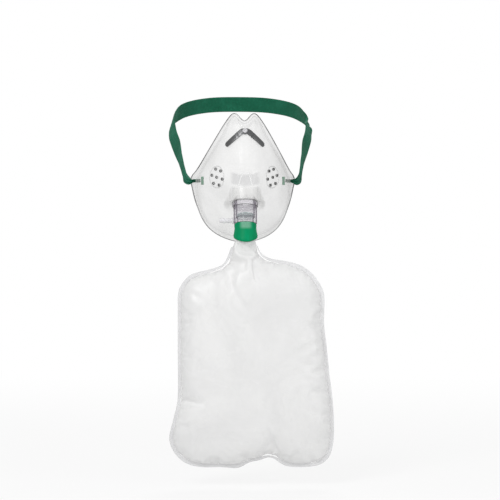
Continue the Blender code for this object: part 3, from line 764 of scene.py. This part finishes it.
# ---- mask shell ----
def build_shell():
    """The skin with its holes, and each side's vent bushes and ring of dots. Returns its search tree."""
    outer, collar, inner = shell_loops()
    mesh = mesh_of([*outer, *collar, *reversed(inner)], closed_tube=True, smooth_angle=60)
    shell = add_piece("mask_skin", mesh, VINYL, RIM, FOLD, RIGID)
    last = len(outer) + len(collar) + len(inner) - 1
    boss = len(outer) - 1
    # The rows of faces painted with lines of shade: the rim and the boss's edge, the inner fold, the boss's
    # collar.
    edges, fold, walls = (0, 1, last, boss + 2, boss + 4), (6,), (boss + 3, boss + 7)
    for slot, rows in enumerate((edges, fold, walls), start=1):
        for row in rows:
            for k in range(row * MERIDIANS, (row + 1) * MERIDIANS):
                mesh.polygons[k].material_index = slot
    tree = surface_of(outer)
    drill = [(PORT_HOLE_R + 0.2, -6), (PORT_HOLE_R + 0.2, 6)]
    tools = []
    for side, word in ((-1, "left"), (1, "right")):
        places = [aim(point, normal) for point, normal in port_centres(tree, side)]
        tools += [solid_turned(drill, 24, matrix=place) for place in places]
        dots = [bead(spot) for spot, _ in around_port(tree, side, DOT_RING_R, DOT_COUNT, 0.0)]
        for name, meshes, mat in (("vent_dots", dots, DOTS), ("vent_rims", map(vent_bush, places), VENT_SHADE)):
            show(f"{name}_{word}", joined(meshes), mat, "mask", "clear_vinyl")
        spot, _, _, _ = tree.find_nearest(Vector((side * EYELET_X, -8, 0)))
        tools.append(solid_turned([(EYELET_R, -9), (EYELET_R, 9)], 40,
                                  matrix=aim(spot, Vector((side, 0, 0)))))
    point, normal = touch(tree, *CLIP_HALF[0])
    tools.append(solid_turned([(STUD_HOLE_R, -4), (STUD_HOLE_R, 6)], 24, matrix=aim(point, normal)))
    cut_out(shell, joined(tools))
    shell.data.set_sharp_from_angle(angle=math.radians(50))
    stands_for(shell, "mask", "clear_vinyl", "mask_shell")
    return tree


def bead(spot):
    bm = bmesh.new()
    bmesh.ops.create_icosphere(bm, subdivisions=1, radius=DOT_R * MM, matrix=Matrix.Translation(spot * MM))
    return finished(bm)


def vent_bush(place):
    """One moulded vent hole: a short tube through the wall with a low rim outside."""
    r, wall = PORT_HOLE_R - 0.35, -SHELL_WALL - 0.1
    profile = [(r, wall), (r, -0.1), (r + 0.1, 0.12), (r + 0.32, 0.12), (r + 0.4, -0.1), (r + 0.4, wall)]
    return turned(profile, 28, 0.06, matrix=place)


# ---- nose clip ----
def strip_section(width, thickness, corner):
    """A rounded rectangle as (u, v) points, counter-clockwise."""
    points = []
    for cx, cy, start in ((1, 1, 0), (-1, 1, 90), (-1, -1, 180), (1, -1, 270)):
        for turn in (0, 30, 60, 90):
            a = math.radians(start + turn)
            points.append((cx * (width / 2 - corner) + corner * math.cos(a),
                           cy * (thickness / 2 - corner) + corner * math.sin(a)))
    return points


def build_nose_clip(tree):
    half = smooth_curve(CLIP_HALF, 40)
    path = np.vstack([half[:0:-1] * np.array([-1, 1]), half])
    spots = [touch(tree, x, z) for x, z in path]
    along = distance_along([spot for spot, _ in spots])
    from_end = np.minimum(along, along[-1] - along)
    loops = []
    for k, (point, normal) in enumerate(spots):
        ahead = spots[min(k + 1, len(spots) - 1)][0] - spots[max(k - 1, 0)][0]
        across = normal.cross(ahead).normalized()
        round_end = math.sqrt(max(1 - max(1 - from_end[k] / 2.4, 0) ** 2, 0.04))
        middle = point + normal * (CLIP_LIFT + CLIP_THICKNESS / 2)
        section = strip_section(CLIP_WIDTH * round_end, CLIP_THICKNESS, 0.22)
        loops.append([middle + across * u + normal * v for u, v in section])
    mesh = mesh_of(loops, smooth_angle=45, uv_scale=(0.05, 0.02))
    clip = add_piece("nose_strip", mesh, METAL)
    place = aim(*spots[len(spots) // 2])
    cut_out(clip, solid_turned([(STUD_HOLE_R, -4), (STUD_HOLE_R, 6)], 32, matrix=place))
    stands_for(clip, "mask", "aluminium_strip", "nose_clip")
    foot, head = -SHELL_WALL - 0.9, CLIP_LIFT + CLIP_THICKNESS + 0.8
    profile = [(2.4, foot - 1.0), (2.4, foot), (1.25, foot), (1.25, head), (2.7, head), (2.7, head + 0.25),
               (2.2, head + 0.85), (1.4, head + 1.15), (0.5, head + 1.2)]
    stud = solid_turned(profile, 40, 0.18, matrix=place)
    show("clip_stud", stud, BARB, "mask", "clear_rigid", "nose_clip_stud")


# ---- head strap ----
# Half of the band's centre line, from inside the right eyelet round it and over the ear to the back.
STRAP_HALF = [(46.5, -7.8, 0), (53.5, -7.8, -0.2), (58.2, -8.4, -0.9), (61.4, -5.6, 0.9), (63.2, 2.2, 5.0),
              (65.0, 13, 11.5), (68.0, 29, 24), (72.2, 46, 40), (77.4, 62, 57), (77, 84, 73), (64, 114, 87),
              (36, 136, 95), (0, 144, 97)]
STRAP_STATIONS, STRAP_ACROSS = 321, 29
EAR_LEVEL, PINCH_LENGTH = 70.0, 16.0
# How far the band is turned towards the front, (distance from its end in mm, radians).
STRAP_TURN = [(7, 0.0), (13, 0.5), (24, 0.45), (42, 0.08), (62, 0.06), (88, 0.40), (110, 0.42), (160, 0.0)]


def build_strap():
    """The elastic band: ribbed where it lies flat, pleated towards the eyelets and pinched over one ear."""
    half = np.array(STRAP_HALF, float)
    points = smooth_curve(np.vstack([half, half[-2::-1] * np.array([-1, 1, 1])]), STRAP_STATIONS)
    normals = unit(np.stack([points[:, 0], (points[:, 1] - 45) * 0.8, 0.35 * (points[:, 2] - 20)], axis=1))
    along = distance_along(points)
    from_end = np.minimum(along, along[-1] - along)
    widths = STRAP_GATHERED[0] + (STRAP_WIDTH - STRAP_GATHERED[0]) * smooth_step((from_end - 12) / 70)
    thicks = STRAP_GATHERED[1] + (STRAP_THICKNESS - STRAP_GATHERED[1]) * np.clip((from_end - 10) / 40, 0, 1)
    ahead = unit(np.gradient(points, axis=0))
    across = unit(np.cross(normals, ahead))
    face = unit(np.cross(ahead, across))
    ear = along[np.argmin(np.where(points[:, 0] > 0, np.abs(points[:, 2] - EAR_LEVEL), np.inf))]
    pinch = bump(along - ear, PINCH_LENGTH)
    roll = 0.55 * pinch * np.sin((along - ear) / 7)
    widths = widths * (1 - 0.35 * pinch)
    widths += 4.4 * smooth_step((from_end - 8) / 5) * (1 - smooth_step((from_end - 16) / 16))
    roll = roll - evened(np.interp(from_end, *zip(*STRAP_TURN)), 6)
    u = np.linspace(-1, 1, STRAP_ACROSS)
    loops = []
    for k, p in enumerate(points):
        a = across[k] * math.cos(roll[k]) + face[k] * math.sin(roll[k])
        f = face[k] * math.cos(roll[k]) - across[k] * math.sin(roll[k])
        w, t = widths[k] / 2, STRAP_THICKNESS / 2
        fold = (thicks[k] / 2 - t) * 0.85 + 0.9 * pinch[k]
        middle = fold * np.sin(u * math.pi * 2.5 + 0.02 * along[k])
        rim = np.sqrt(np.clip(1 - np.abs(u) ** 14, 0.0, 1))
        ribs = 0.075 * np.cos(u * math.pi * 11) * rim * smooth_step((w - 3) / 4)
        ripple = 0.04 * math.sin(along[k] * 2.1)
        top = (t * (0.35 + 0.65 * rim) + ribs + ripple * rim) + middle
        low = -(t * (0.35 + 0.65 * rim) + ribs - ripple * rim) + middle
        loops.append([*(p + a * w * x + f * y for x, y in zip(u, top)),
                      *(p + a * w * x + f * y for x, y in zip(u[::-1], low[::-1]))])
    spacing = along[-1] / (STRAP_STATIONS - 1)
    mesh = mesh_of(loops, smooth_angle=70, uv_scale=(1 / STRAP_ACROSS, spacing / 4))
    show("elastic_band", mesh, ELASTIC, "strap", "green_elastic", "head_strap")
    end = STRAP_HALF[0]
    lower = [(0.9, -4.5), (1.55, -4.3), (BAR_R, -3.9), (1.5, -2.8)]
    profile = [*lower, *((r, -z) for r, z in reversed(lower))]
    for side, word in ((-1, "left"), (1, "right")):
        place = Matrix.Translation(Vector((side * (end[0] - GAP - BAR_R), end[1], end[2])) * MM)
        bar = solid_turned(profile, 32, 0.2, matrix=place)
        show(f"end_bar_{word}", bar, GREEN, "strap", "green_vinyl", f"strap_end_bar_{word}")


# ---- connector, valve and collar ----
def build_connector():
    """The tube from its flared top plug to the spigot's end, and the barbed nipple at its side."""
    top = SHELL_WALL + GAP
    profile = [(10.4, TUBE_TOP), (11.2, top + 3.6), (12.3, top + 0.6), (12.3, top), (11.2, top), (11.2, -5.0),
               (TUBE_R, -5.0), (TUBE_R, -22.6), (TUBE_R - 0.6, -23.2), (SPIGOT_R, -23.2),
               (SPIGOT_R, SPIGOT_END + 0.6), (SPIGOT_R - 0.5, SPIGOT_END), (SPIGOT_BORE_R, SPIGOT_END),
               (SPIGOT_BORE_R, -22.8), (LOWER_BORE_R, -22.0), (LOWER_BORE_R, VALVE_LEDGE),
               (TUBE_BORE_R, VALVE_LEDGE), (TUBE_BORE_R, TUBE_TOP)]
    tube = add_piece("connector_body", turned(profile, 120, 0.28), RIGID)
    cut_out(tube, solid_turned([(SIDE_HOLE_R, -16), (SIDE_HOLE_R, 0)], 40, matrix=NIPPLE))
    # The bore's inner faces take the near-black bore finish: painted shade inside the tube.
    tube.data.materials.append(BORE)
    for face in tube.data.polygons:
        x, y, z = face.center / MM
        in_bore = math.hypot(x, y) < TUBE_BORE_R + 0.15
        if in_bore and -22 < z < -1:
            face.material_index = 1
    tube.data.transform(INLET)
    tube.data.set_sharp_from_angle(angle=math.radians(32))
    stands_for(tube, "connector", "clear_rigid", "connector_tube")
    barb = [(2.05, -9.6), (2.05, -12.75), (3.2, -12.75), (3.3, -13.1), (3.2, -13.8), (2.6, -14.4),
            (2.45, -15.0), (2.5, -17.6), (2.62, -17.8), (2.5, -18.0), (2.52, -21.3), (2.9, -22.1),
            (2.85, -22.5), (2.15, -27.4), (1.9, -27.6), (1.2, -27.6), (1.2, -9.6)]
    nipple = turned(barb, 64, 0.15, matrix=INLET @ NIPPLE)
    show("inlet_nipple", nipple, BARB, "connector", "clear_rigid", "oxygen_inlet")


def build_valve():
    """The CAD nodes of the seat, the pin, the disc and the bag's neck, with materials and bevelled edges."""
    for name, mat in (("valve_seat", VALVE), ("valve_pin", VALVE), ("valve_disc", SILICONE),
                      ("bag_neck_sleeve", FILM_MAT)):
        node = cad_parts[name]
        node.data.materials.clear()
        node.data.materials.append(mat)
        if mat is not FILM_MAT:
            bevel = node.modifiers.new("edge", "BEVEL")
            bevel.width = 0.12 * MM
            bevel.segments = 2
            bevel.limit_method = "ANGLE"
            bevel.angle_limit = math.radians(40)


def build_collar():
    """The bag's soft collar: its lower rim droops in front, where the bag hangs from it."""
    bore = SPIGOT_R + GAP + FILM + GAP
    top, low = COLLAR_TOP, COLLAR_BOTTOM
    outside = smooth_curve([(11.55, top - 0.5), (11.85, top - 1.2), (11.75, top - 2.2), (11.5, top - 4.2),
                            (11.75, top - 6.6), (12.15, top - 9.0), (12.65, low + 4.0), (12.75, low + 2.4),
                            (12.45, low + 1.0), (12.0, low + 0.35)], 40)
    profile = [(bore + 0.2, top), (11.2, top), *map(tuple, outside), (11.7, low), (bore + 0.2, low),
               (bore, low + 0.3), *[(bore, low + k * (top - low - 0.6) / 12) for k in range(1, 12)],
               (bore, top - 0.3)]
    mesh = turned(profile, 120, 0.12, smooth_angle=50, uv_scale=(1 / 120, 0.1))
    for v in mesh.vertices:
        x, y, z = v.co / MM
        front = -y / math.hypot(x, y)
        droop = COLLAR_DROOP * (0.625 * front + 0.375 * front ** 2)
        v.co.z -= droop * smooth_step((top - 3 - z) / (top - 3 - low)) * MM
    mesh.transform(INLET)
    show("bag_band", mesh, GREEN, "connector", "green_vinyl", "bag_collar")


# ---- reservoir bag ----
# The bag's outside as (x, z), from the collar down the right side, round the bottom and up the left.
BAG_OUTLINE = [(11.8, -67.6), (15.0, -78.0), (20.5, -82.5), (29.2, -85.6), (39.2, -86.8), (47.9, -88.7),
               (56.6, -91.2), (65.3, -96.1), (72.7, -103), (77.6, -110), (81.6, -117), (83.3, -124),
               (83.5, -134.7), (82.9, -147.1), (83.3, -158.3), (85.1, -172), (87, -190.6), (88.9, -209.2),
               (91.4, -227.9), (93.2, -250.1), (93.5, -266.2), (92.6, -279.9), (90.1, -291.1), (85.1, -298.6),
               (77.7, -302.9), (69, -304.5), (57, -305.0), (45.4, -304.5), (37.9, -301.7), (31.1, -296.7),
               (26.1, -293.8), (21.8, -294.8), (15.6, -297.6), (8.1, -298.6), (1.9, -300.4), (-3.1, -304.1),
               (-9.3, -306), (-15.5, -305.4), (-27.9, -304.5), (-40.4, -304.8), (-50.3, -304.1),
               (-60.3, -301.7), (-67.7, -297.3), (-73.9, -291.1), (-78.3, -283.6), (-80.4, -276.2),
               (-80.4, -270), (-78.3, -262.5), (-75.2, -250.1), (-72.7, -240.1), (-71.4, -231.4),
               (-71.2, -212.8), (-71.4, -178.2), (-71.4, -147.1), (-71.2, -122.2), (-69.4, -115),
               (-65.6, -109.5), (-61.5, -104.2), (-55.3, -100.5), (-42.9, -97.4), (-30.4, -94.3),
               (-22.4, -89.9), (-18.8, -82), (-15.0, -72), (-12.2, -66.6)]
BAG_TOP, WELD_TOP, BAG_FOOT = -67.0, -72.0, -290.0
# How far below its top the bag is how thick, from the middle to one sheet.
BAG_DROPS = [0, 6, 14, 24, 40, 80, 150, 190, 215, 232, 240]
BAG_SWELLS = [10.3, 9.6, 9.4, 11, 14, 17.5, 18.5, 17, 13, 7, 1]
NECK_REACH = 22.0  # how far round the neck the first shape is drawn into a tube
GRIP_LENGTH = 26.0  # over which length below the neck the skin takes the bag's thickness
WELD_WIDTH = 3.3
BAG_STEP = 3.3
NECK_R = 10.3
NECK_LEVEL = -38.4
NECK_TOP = -36.0
BAG_HALF_THICKNESS = 18.5
SIM_SCALE = 10.0  # the cloth is simulated at ten times its size, where the solver is steadier
SIM_FRAMES = 34
BAG_MIDDLE = inlet_point(0, 0, COLLAR_BOTTOM)
BAG_PLANE = BAG_MIDDLE[1]


def bag_seams():
    """The weld's outer and inner edges, (x, z), evenly spaced from the neck's right to its left."""
    outer = smooth_curve(BAG_OUTLINE, int(distance_along(BAG_OUTLINE)[-1] / BAG_STEP))
    evened(outer, 2)
    ahead = unit(np.gradient(outer, axis=0))
    inward = np.stack([ahead[:, 1], -ahead[:, 0]], axis=1)
    drop = outer[0, 1] - outer[:, 1]
    width = 0.5 + (WELD_WIDTH - 0.5) * smooth_step(drop / 16)
    return outer, evened(outer + inward * width[:, None], 2)


def bag_pattern(inner):
    """One flat sheet: points (x, z), triangles, and how many of the first points lie on seam and neck."""
    neck = np.linspace(inner[-1], inner[0], 9)[1:-1]
    edge = np.vstack([inner, neck])
    low, high = edge.min(axis=0), edge.max(axis=0)
    rng = np.random.default_rng(11)
    grid = []
    rows = np.arange(low[1], high[1], BAG_STEP * 0.866)
    for k, z in enumerate(rows):
        for x in np.arange(low[0] + (k % 2) * BAG_STEP / 2, high[0], BAG_STEP):
            grid.append((x, z))
    grid = np.array(grid) + rng.uniform(-0.4, 0.4, (len(grid), 2))
    inside = np.zeros(len(grid), bool)
    for (ax, az), (bx, bz) in zip(edge, np.roll(edge, -1, axis=0)):
        crosses = (az > grid[:, 1]) != (bz > grid[:, 1])
        with np.errstate(divide="ignore", invalid="ignore"):
            at = ax + (grid[:, 1] - az) / (bz - az) * (bx - ax)
        inside ^= crosses & (grid[:, 0] < at)
    gap = np.linalg.norm(grid[:, None] - edge[None], axis=2).min(axis=1)
    grid = grid[inside & (gap > BAG_STEP * 0.62)]
    points = [Vector(p) for p in np.vstack([edge, grid])]
    sides = [(k, (k + 1) % len(edge)) for k in range(len(edge))]
    made, _, faces, _, _, _ = delaunay_2d_cdt(points, sides, [], 1, 1e-4)
    return np.array(made), [tuple(f) for f in faces], len(inner), len(neck)


def bag_swell(flat, outer):
    """Half thickness of the blown-up bag over the flat pattern, mm."""
    drop = outer[0, 1] - flat[:, 1]
    right, left = side_rows(outer, 1), side_rows(outer, -1)
    high_x = np.interp(-flat[:, 1], -right[:, 1], right[:, 0])
    low_x = np.interp(-flat[:, 1], -left[:, 1], left[:, 0])
    share = np.clip((flat[:, 0] - low_x) / np.maximum(high_x - low_x, 1), 0, 1)
    return np.interp(drop, BAG_DROPS, BAG_SWELLS) * np.sqrt(np.clip(4 * share * (1 - share), 0, 1)) ** 1.2


def side_rows(outer, side):
    """The outline's right (+1) or left (-1) side, from the neck to where it turns along the bottom."""
    rows = outer if side > 0 else outer[::-1]
    rows = rows[:int(np.argmax(rows[:, 1] < BAG_FOOT))]
    keep = np.concatenate([[True], np.diff(np.minimum.accumulate(rows[:, 1])) < 0])
    return rows[keep]


def neck_place(share, face):
    """A point of the round neck: share 0 at its left, 1 at its right, by the front (-1) or the back (+1)."""
    a = math.pi * (1 - share)
    return inlet_point(NECK_R * math.cos(a), face * NECK_R * math.sin(a), NECK_LEVEL)


def blown_bag():
    """The skin's first shape, front and back sheets joined at the seam: the weld's edges, the flat pattern,
    points, triangles, the points held at the neck, the neck's ring and how many points lie on the seam."""
    outer, inner = bag_seams()
    flat, faces, seam_count, neck_count = bag_pattern(inner)
    count = len(flat)
    extra = list(range(seam_count, count))
    back_of = {i: i if i < seam_count else count + i - seam_count for i in range(count)}
    order = [*range(count), *extra]
    pattern = flat[order]
    face_side = np.array([-1.0] * count + [1.0] * len(extra))
    swell = bag_swell(flat, outer)
    points = np.stack([pattern[:, 0], BAG_PLANE + face_side * swell[order], pattern[:, 1]], axis=1)
    points[:seam_count, 1] = BAG_PLANE
    triangles = [*faces, *(tuple(back_of[i] for i in reversed(f)) for f in faces)]
    front_neck = list(range(seam_count, seam_count + neck_count))
    back_neck = [back_of[i] for i in front_neck]
    held = [*front_neck, *back_neck, 0, seam_count - 1]
    share = (pattern[held, 0] - inner[-1, 0]) / (inner[0, 0] - inner[-1, 0])
    goals = np.array([neck_place(s, -1 if i in front_neck else 1) for i, s in zip(held, share)])
    near = np.linalg.norm(points[:, None] - points[held][None], axis=2)
    pull = 1 - smooth_step((near.min(axis=1) - 1) / NECK_REACH)
    weight = 1 / (near + 0.3) ** 3
    moves = goals - points[held]
    points = points + (weight @ moves / weight.sum(axis=1, keepdims=True)) * pull[:, None]
    points[held] = goals
    ring = [seam_count - 1, *front_neck, 0, *reversed(back_neck)]
    return outer, inner, pattern, points, triangles, held, ring, seam_count


def simulate_bag(points, pattern, triangles, held):
    """The skin under a little pressure, as cloth cut to the flat pattern and held at the neck."""
    mesh = bpy.data.meshes.new("bag_cloth")
    mesh.from_pydata([Vector(p) * MM * SIM_SCALE for p in points], [], triangles)
    cloth_piece = bpy.data.objects.new("bag_cloth", mesh)
    bpy.context.scene.collection.objects.link(cloth_piece)
    cloth_piece.shape_key_add(name="Basis")
    flat = cloth_piece.shape_key_add(name="Flat")
    side = np.sign(points[:, 1] - BAG_PLANE)
    for i, (x, z) in enumerate(pattern):
        flat.data[i].co = Vector((x, BAG_PLANE + side[i] * 0.2, z)) * MM * SIM_SCALE
    cloth_piece.vertex_groups.new(name="held").add(held, 1.0, "REPLACE")
    modifier = cloth_piece.modifiers.new("cloth", "CLOTH")
    cloth = modifier.settings
    for name, value in dict(
            quality=7, mass=0.25, tension_stiffness=60, compression_stiffness=60, shear_stiffness=30,
            bending_stiffness=0.6, tension_damping=8, compression_damping=8, shear_damping=8,
            bending_damping=0.6, air_damping=3, vertex_group_mass="held", rest_shape_key=flat,
            use_pressure=True, uniform_pressure_force=6.0).items():
        setattr(cloth, name, value)
    cloth.effector_weights.gravity = 0.0
    modifier.collision_settings.use_collision = False
    modifier.collision_settings.use_self_collision = False
    scene = bpy.context.scene
    modifier.point_cache.frame_start, modifier.point_cache.frame_end = 1, SIM_FRAMES
    for k in range(1, SIM_FRAMES + 1):
        scene.frame_set(k)
    shown = cloth_piece.evaluated_get(bpy.context.evaluated_depsgraph_get())
    out = np.array([v.co for v in shown.to_mesh().vertices]) / (MM * SIM_SCALE)
    shown.to_mesh_clear()
    bpy.data.objects.remove(cloth_piece)
    scene.frame_set(1)
    return out


def settle(points, inner, pattern, seam_count, held):
    """The simulated skin brought back to the outline and to its thickness, smoothly over the whole sheet."""
    drop = BAG_TOP - pattern[:, 1]
    grip = smooth_step(drop / GRIP_LENGTH)
    goal = points.copy()
    target = np.stack([inner[:, 0], points[:seam_count, 1], inner[:, 1]], axis=1)
    move = target - points[:seam_count]
    move *= smooth_step((drop[:seam_count] - 1) / 14)[:, None]
    away = np.linalg.norm(pattern[:, None] - inner[None], axis=2)
    weight = 1 / (away + 0.05) ** 2
    goal += weight @ move / weight.sum(axis=1, keepdims=True)
    evened(goal[:seam_count, 1], 2)
    depth = goal[:, 1] - BAG_PLANE
    # A soft limit: the film stays steep beside the seam, and the middle is held to the bag's thickness.
    peak = np.percentile(np.abs(depth), 99.5)
    share = np.clip(np.abs(depth) / peak, 0, 1)
    full = BAG_HALF_THICKNESS * share * (2 - share) * np.sign(depth)
    goal[:, 1] = BAG_PLANE + depth * (1 - grip) + full * grip
    goal[held] = points[held]
    return goal


# Creases of the film, each a run of (x, z) points with its width and depth in mm.
CREASES = [
    ([(-13, -68), (-16, -72), (-21, -78), (-24, -86)], 2.2, 1.0),
    ([(-22, -90), (-19.5, -100), (-15, -113), (-10, -125), (2, -140)], 3.0, 1.5),
    ([(-1, -80), (-1.5, -90), (-1, -106)], 2.4, 0.9), ([(7, -72), (6.5, -80), (8, -92)], 2.4, 0.8),
    ([(14, -80), (22, -92), (34, -106)], 2.8, 1.0), ([(-9, -76), (-10, -88), (-6, -102)], 2.2, 0.8),
    ([(46, -92), (54, -106), (60, -124)], 3.0, 0.8), ([(-66, -118), (-56, -122), (-44, -130)], 3.0, 0.9),
    ([(80, -172), (68, -176), (54, -184)], 3.0, 0.7), ([(26, -292), (27, -282), (22, -268)], 3.0, 1.0),
    ([(70, -300), (64, -290), (62, -276)], 2.8, 0.8), ([(-52, -301), (-50, -290), (-44, -276)], 2.8, 0.8),
    ([(-78, -268), (-68, -262), (-56, -260)], 3.0, 0.9), ([(88, -250), (76, -247), (64, -240)], 3.0, 0.6)]


def creased(points):
    """The skin with its creases pressed in and low folds between them."""
    out = points.copy()
    side = np.sign(points[:, 1] - BAG_PLANE)
    xz = points[:, [0, 2]]
    for number, (path, width, depth) in enumerate(CREASES):
        line = smooth_curve(path, 24)
        gaps = np.linalg.norm(xz[:, None] - line[None], axis=2)
        gap = gaps.min(axis=1)
        ends = np.sin(np.pi * (gaps.argmin(axis=1) + 0.5) / 24) ** 0.5
        valley = np.exp(-(gap / width) ** 2)
        shoulder = np.exp(-((gap - 2.1 * width) / (0.9 * width)) ** 2)
        share = np.where(side < 0, 1.0, 0.55 if number % 2 else 0.15)
        out[:, 1] -= side * share * depth * ends * (valley - 0.45 * shoulder)
    # Broad lobes: the middle of the sheet lies a little lower than its two sides.
    x, z = xz.T
    inside = smooth_step(np.abs(points[:, 1] - BAG_PLANE) / 9)
    lobes = 1.5 * bump(x - 2 - 6 * np.sin((z + 190) / 40), 24) * bump(z + 195, 95)
    lobes += 0.9 * np.sin(x / 17.0 + z / 31.0) * np.cos(z / 23.0 + 0.8 * np.sin(x / 29.0))
    out[:, 1] -= side * lobes * inside
    return out


def build_bag():
    outer, inner, pattern, points, triangles, held, ring, seam_count = blown_bag()
    points = simulate_bag(points, pattern, triangles, held)
    points = creased(settle(points, inner, pattern, seam_count, held))
    # The neck goes on into the collar as a round tube and is closed there, out of sight.
    lift = inlet_point(0, 0, NECK_TOP) - inlet_point(0, 0, NECK_LEVEL)
    first, n = len(points), len(ring)
    points = np.vstack([points, points[ring] + lift])
    walls = [(ring[k], ring[(k + 1) % n], first + (k + 1) % n, first + k) for k in range(n)]
    bm = bmesh.new()
    verts = [bm.verts.new(Vector(p) * MM) for p in points]
    for face in [*triangles, *walls, range(first, first + n)]:
        bm.faces.new([verts[i] for i in face])
    bmesh.ops.recalc_face_normals(bm, faces=bm.faces)
    bag = add_piece("reservoir_bag", finished(bm), FILM_MAT)
    finer = bag.modifiers.new("finer", "SUBSURF")
    finer.levels = finer.render_levels = 1
    apply_modifiers(bag)
    weld = build_weld(points[:seam_count], outer)
    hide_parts("bag_front_film", "bag_back_film")
    for piece in (bag, weld):
        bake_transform(piece)


def build_weld(seam, outer):
    """The welded edge: a flat band with two raised lines, from one side of the neck round to the other."""
    # Half of the band's section: the share of the way outwards (mm where it reaches inwards) and the height.
    half = [(-0.25, 0.10), (0.02, 0.24), (0.14, 0.30), (0.26, 0.24), (0.40, 0.15), (0.60, 0.15), (0.74, 0.30),
            (0.86, 0.34), (0.96, 0.20)]
    section = [*half, (1.0, 0.0), *((x, -y) for x, y in reversed(half))]
    seam = evened(seam.copy(), 5)
    rim = np.stack([outer[:, 0], seam[:, 1], outer[:, 1]], axis=1)
    both = smooth_curve(np.hstack([seam, rim]), 2 * len(seam))
    loops = []
    for a, b in zip(both[:, :3], both[:, 3:]):
        if b[2] >= WELD_TOP:
            continue
        reach = np.linalg.norm(b - a)
        across = (b - a) / max(reach, 1e-6)
        loops.append([a + across * (s * reach if s > 0 else s) + np.array([0, y * min(1, reach / 2), 0])
                      for s, y in section])
    return add_piece("bag_weld", mesh_of(loops, smooth_angle=50), WELD)


# ---- surroundings ----
BACKDROP = 1.0
STUDIO = 0.48
FLOOR_DROP, FLOOR_HALF = 0.02, 60.0
# Each light's name, place, target, size and power.
LIGHTS = [("key", (-0.9, -1.5, 1.1), (0, -0.02, -0.08), (0.9, 0.9), 15),
          ("fill", (1.3, -1.1, 0.3), (0, -0.02, -0.08), (0.7, 1.2), 5.2),
          ("strip_left", (-0.75, -1.15, 0.15), (0, -0.05, -0.1), (0.10, 1.3), 2.2),
          ("strip_right", (0.62, -1.25, 0.1), (0, -0.05, -0.1), (0.08, 1.3), 1.8),
          ("back", (0.3, 1.6, 1.2), (0, -0.02, -0.05), (1.4, 0.8), 13)]
CAMERA_PLACE, CAMERA_TURN, CAMERA_LENS = (-0.0705, -1.7986, -0.0759), -2.5, 117.8


def build_stage(low):
    bm = bmesh.new()
    bmesh.ops.create_grid(bm, x_segments=1, y_segments=1, size=FLOOR_HALF)
    bmesh.ops.translate(bm, verts=bm.verts, vec=(0, 0, low - FLOOR_DROP))
    stage = add_piece("studio_floor", finished(bm, smooth=False), floor_paint())
    stage.visible_diffuse = stage.visible_glossy = stage.visible_transmission = False


def floor_paint():
    """A pale floor near the object that runs into the pale backdrop farther out."""
    p = Paint("floor_paint", (0.9, 0.9, 0.9), 0.85)
    away = p.node("VectorMath", "Value", {0: p.coordinates.outputs["Object"]}, operation="LENGTH")
    glow = p.node("Emission", "Emission", {"Color": (1, 1, 1, 1), "Strength": BACKDROP})
    mix = p.node("MixShader", "Shader", {0: p.spread(away, 0.35, 1.6, 0.75, 1.0),
                                         1: p.shader.outputs["BSDF"], 2: glow})
    p.links.new(mix, p.nodes["Material Output"].inputs["Surface"])
    return p.mat


def build_world():
    """White as the camera sees it, and a weaker white as it lights the object."""
    world = bpy.data.worlds.new("studio")
    bpy.context.scene.world = world
    world.use_nodes = True
    nodes, links = world.node_tree.nodes, world.node_tree.links
    shown, lit = nodes["Background"], nodes.new("ShaderNodeBackground")
    for node, strength in ((shown, BACKDROP), (lit, STUDIO)):
        node.inputs["Color"].default_value = (1, 1, 1, 1)
        node.inputs["Strength"].default_value = strength
    path, mix = nodes.new("ShaderNodeLightPath"), nodes.new("ShaderNodeMixShader")
    links.new(path.outputs["Is Camera Ray"], mix.inputs["Fac"])
    links.new(lit.outputs["Background"], mix.inputs[1])
    links.new(shown.outputs["Background"], mix.inputs[2])
    links.new(mix.outputs["Shader"], nodes["World Output"].inputs["Surface"])


def build_light(name, place, target, size, power):
    data = bpy.data.lights.new(name, "AREA")
    data.shape = "RECTANGLE"
    data.size, data.size_y = size
    data.energy = power
    light = bpy.data.objects.new(name, data)
    light.location = place
    light.rotation_euler = (Vector(target) - Vector(place)).to_track_quat("-Z", "Y").to_euler()
    bpy.context.scene.collection.objects.link(light)


def build_camera():
    data = bpy.data.cameras.new("camera")
    data.lens, data.sensor_width = CAMERA_LENS, 36.0
    data.clip_end = 100.0
    camera = bpy.data.objects.new("camera", data)
    camera.location = CAMERA_PLACE
    camera.rotation_euler = (math.radians(90), 0, math.radians(CAMERA_TURN))
    bpy.context.scene.collection.objects.link(camera)
    bpy.context.scene.camera = camera


bpy.context.scene.view_settings.view_transform = "Standard"
build_camera()
shell_tree = build_shell()
build_nose_clip(shell_tree)
build_strap()
build_connector()
build_valve()
build_collar()
build_bag()
build_stage(cad_box[0][2])
build_world()
for light in LIGHTS:
    build_light(*light)

bpy.context.view_layer.update()
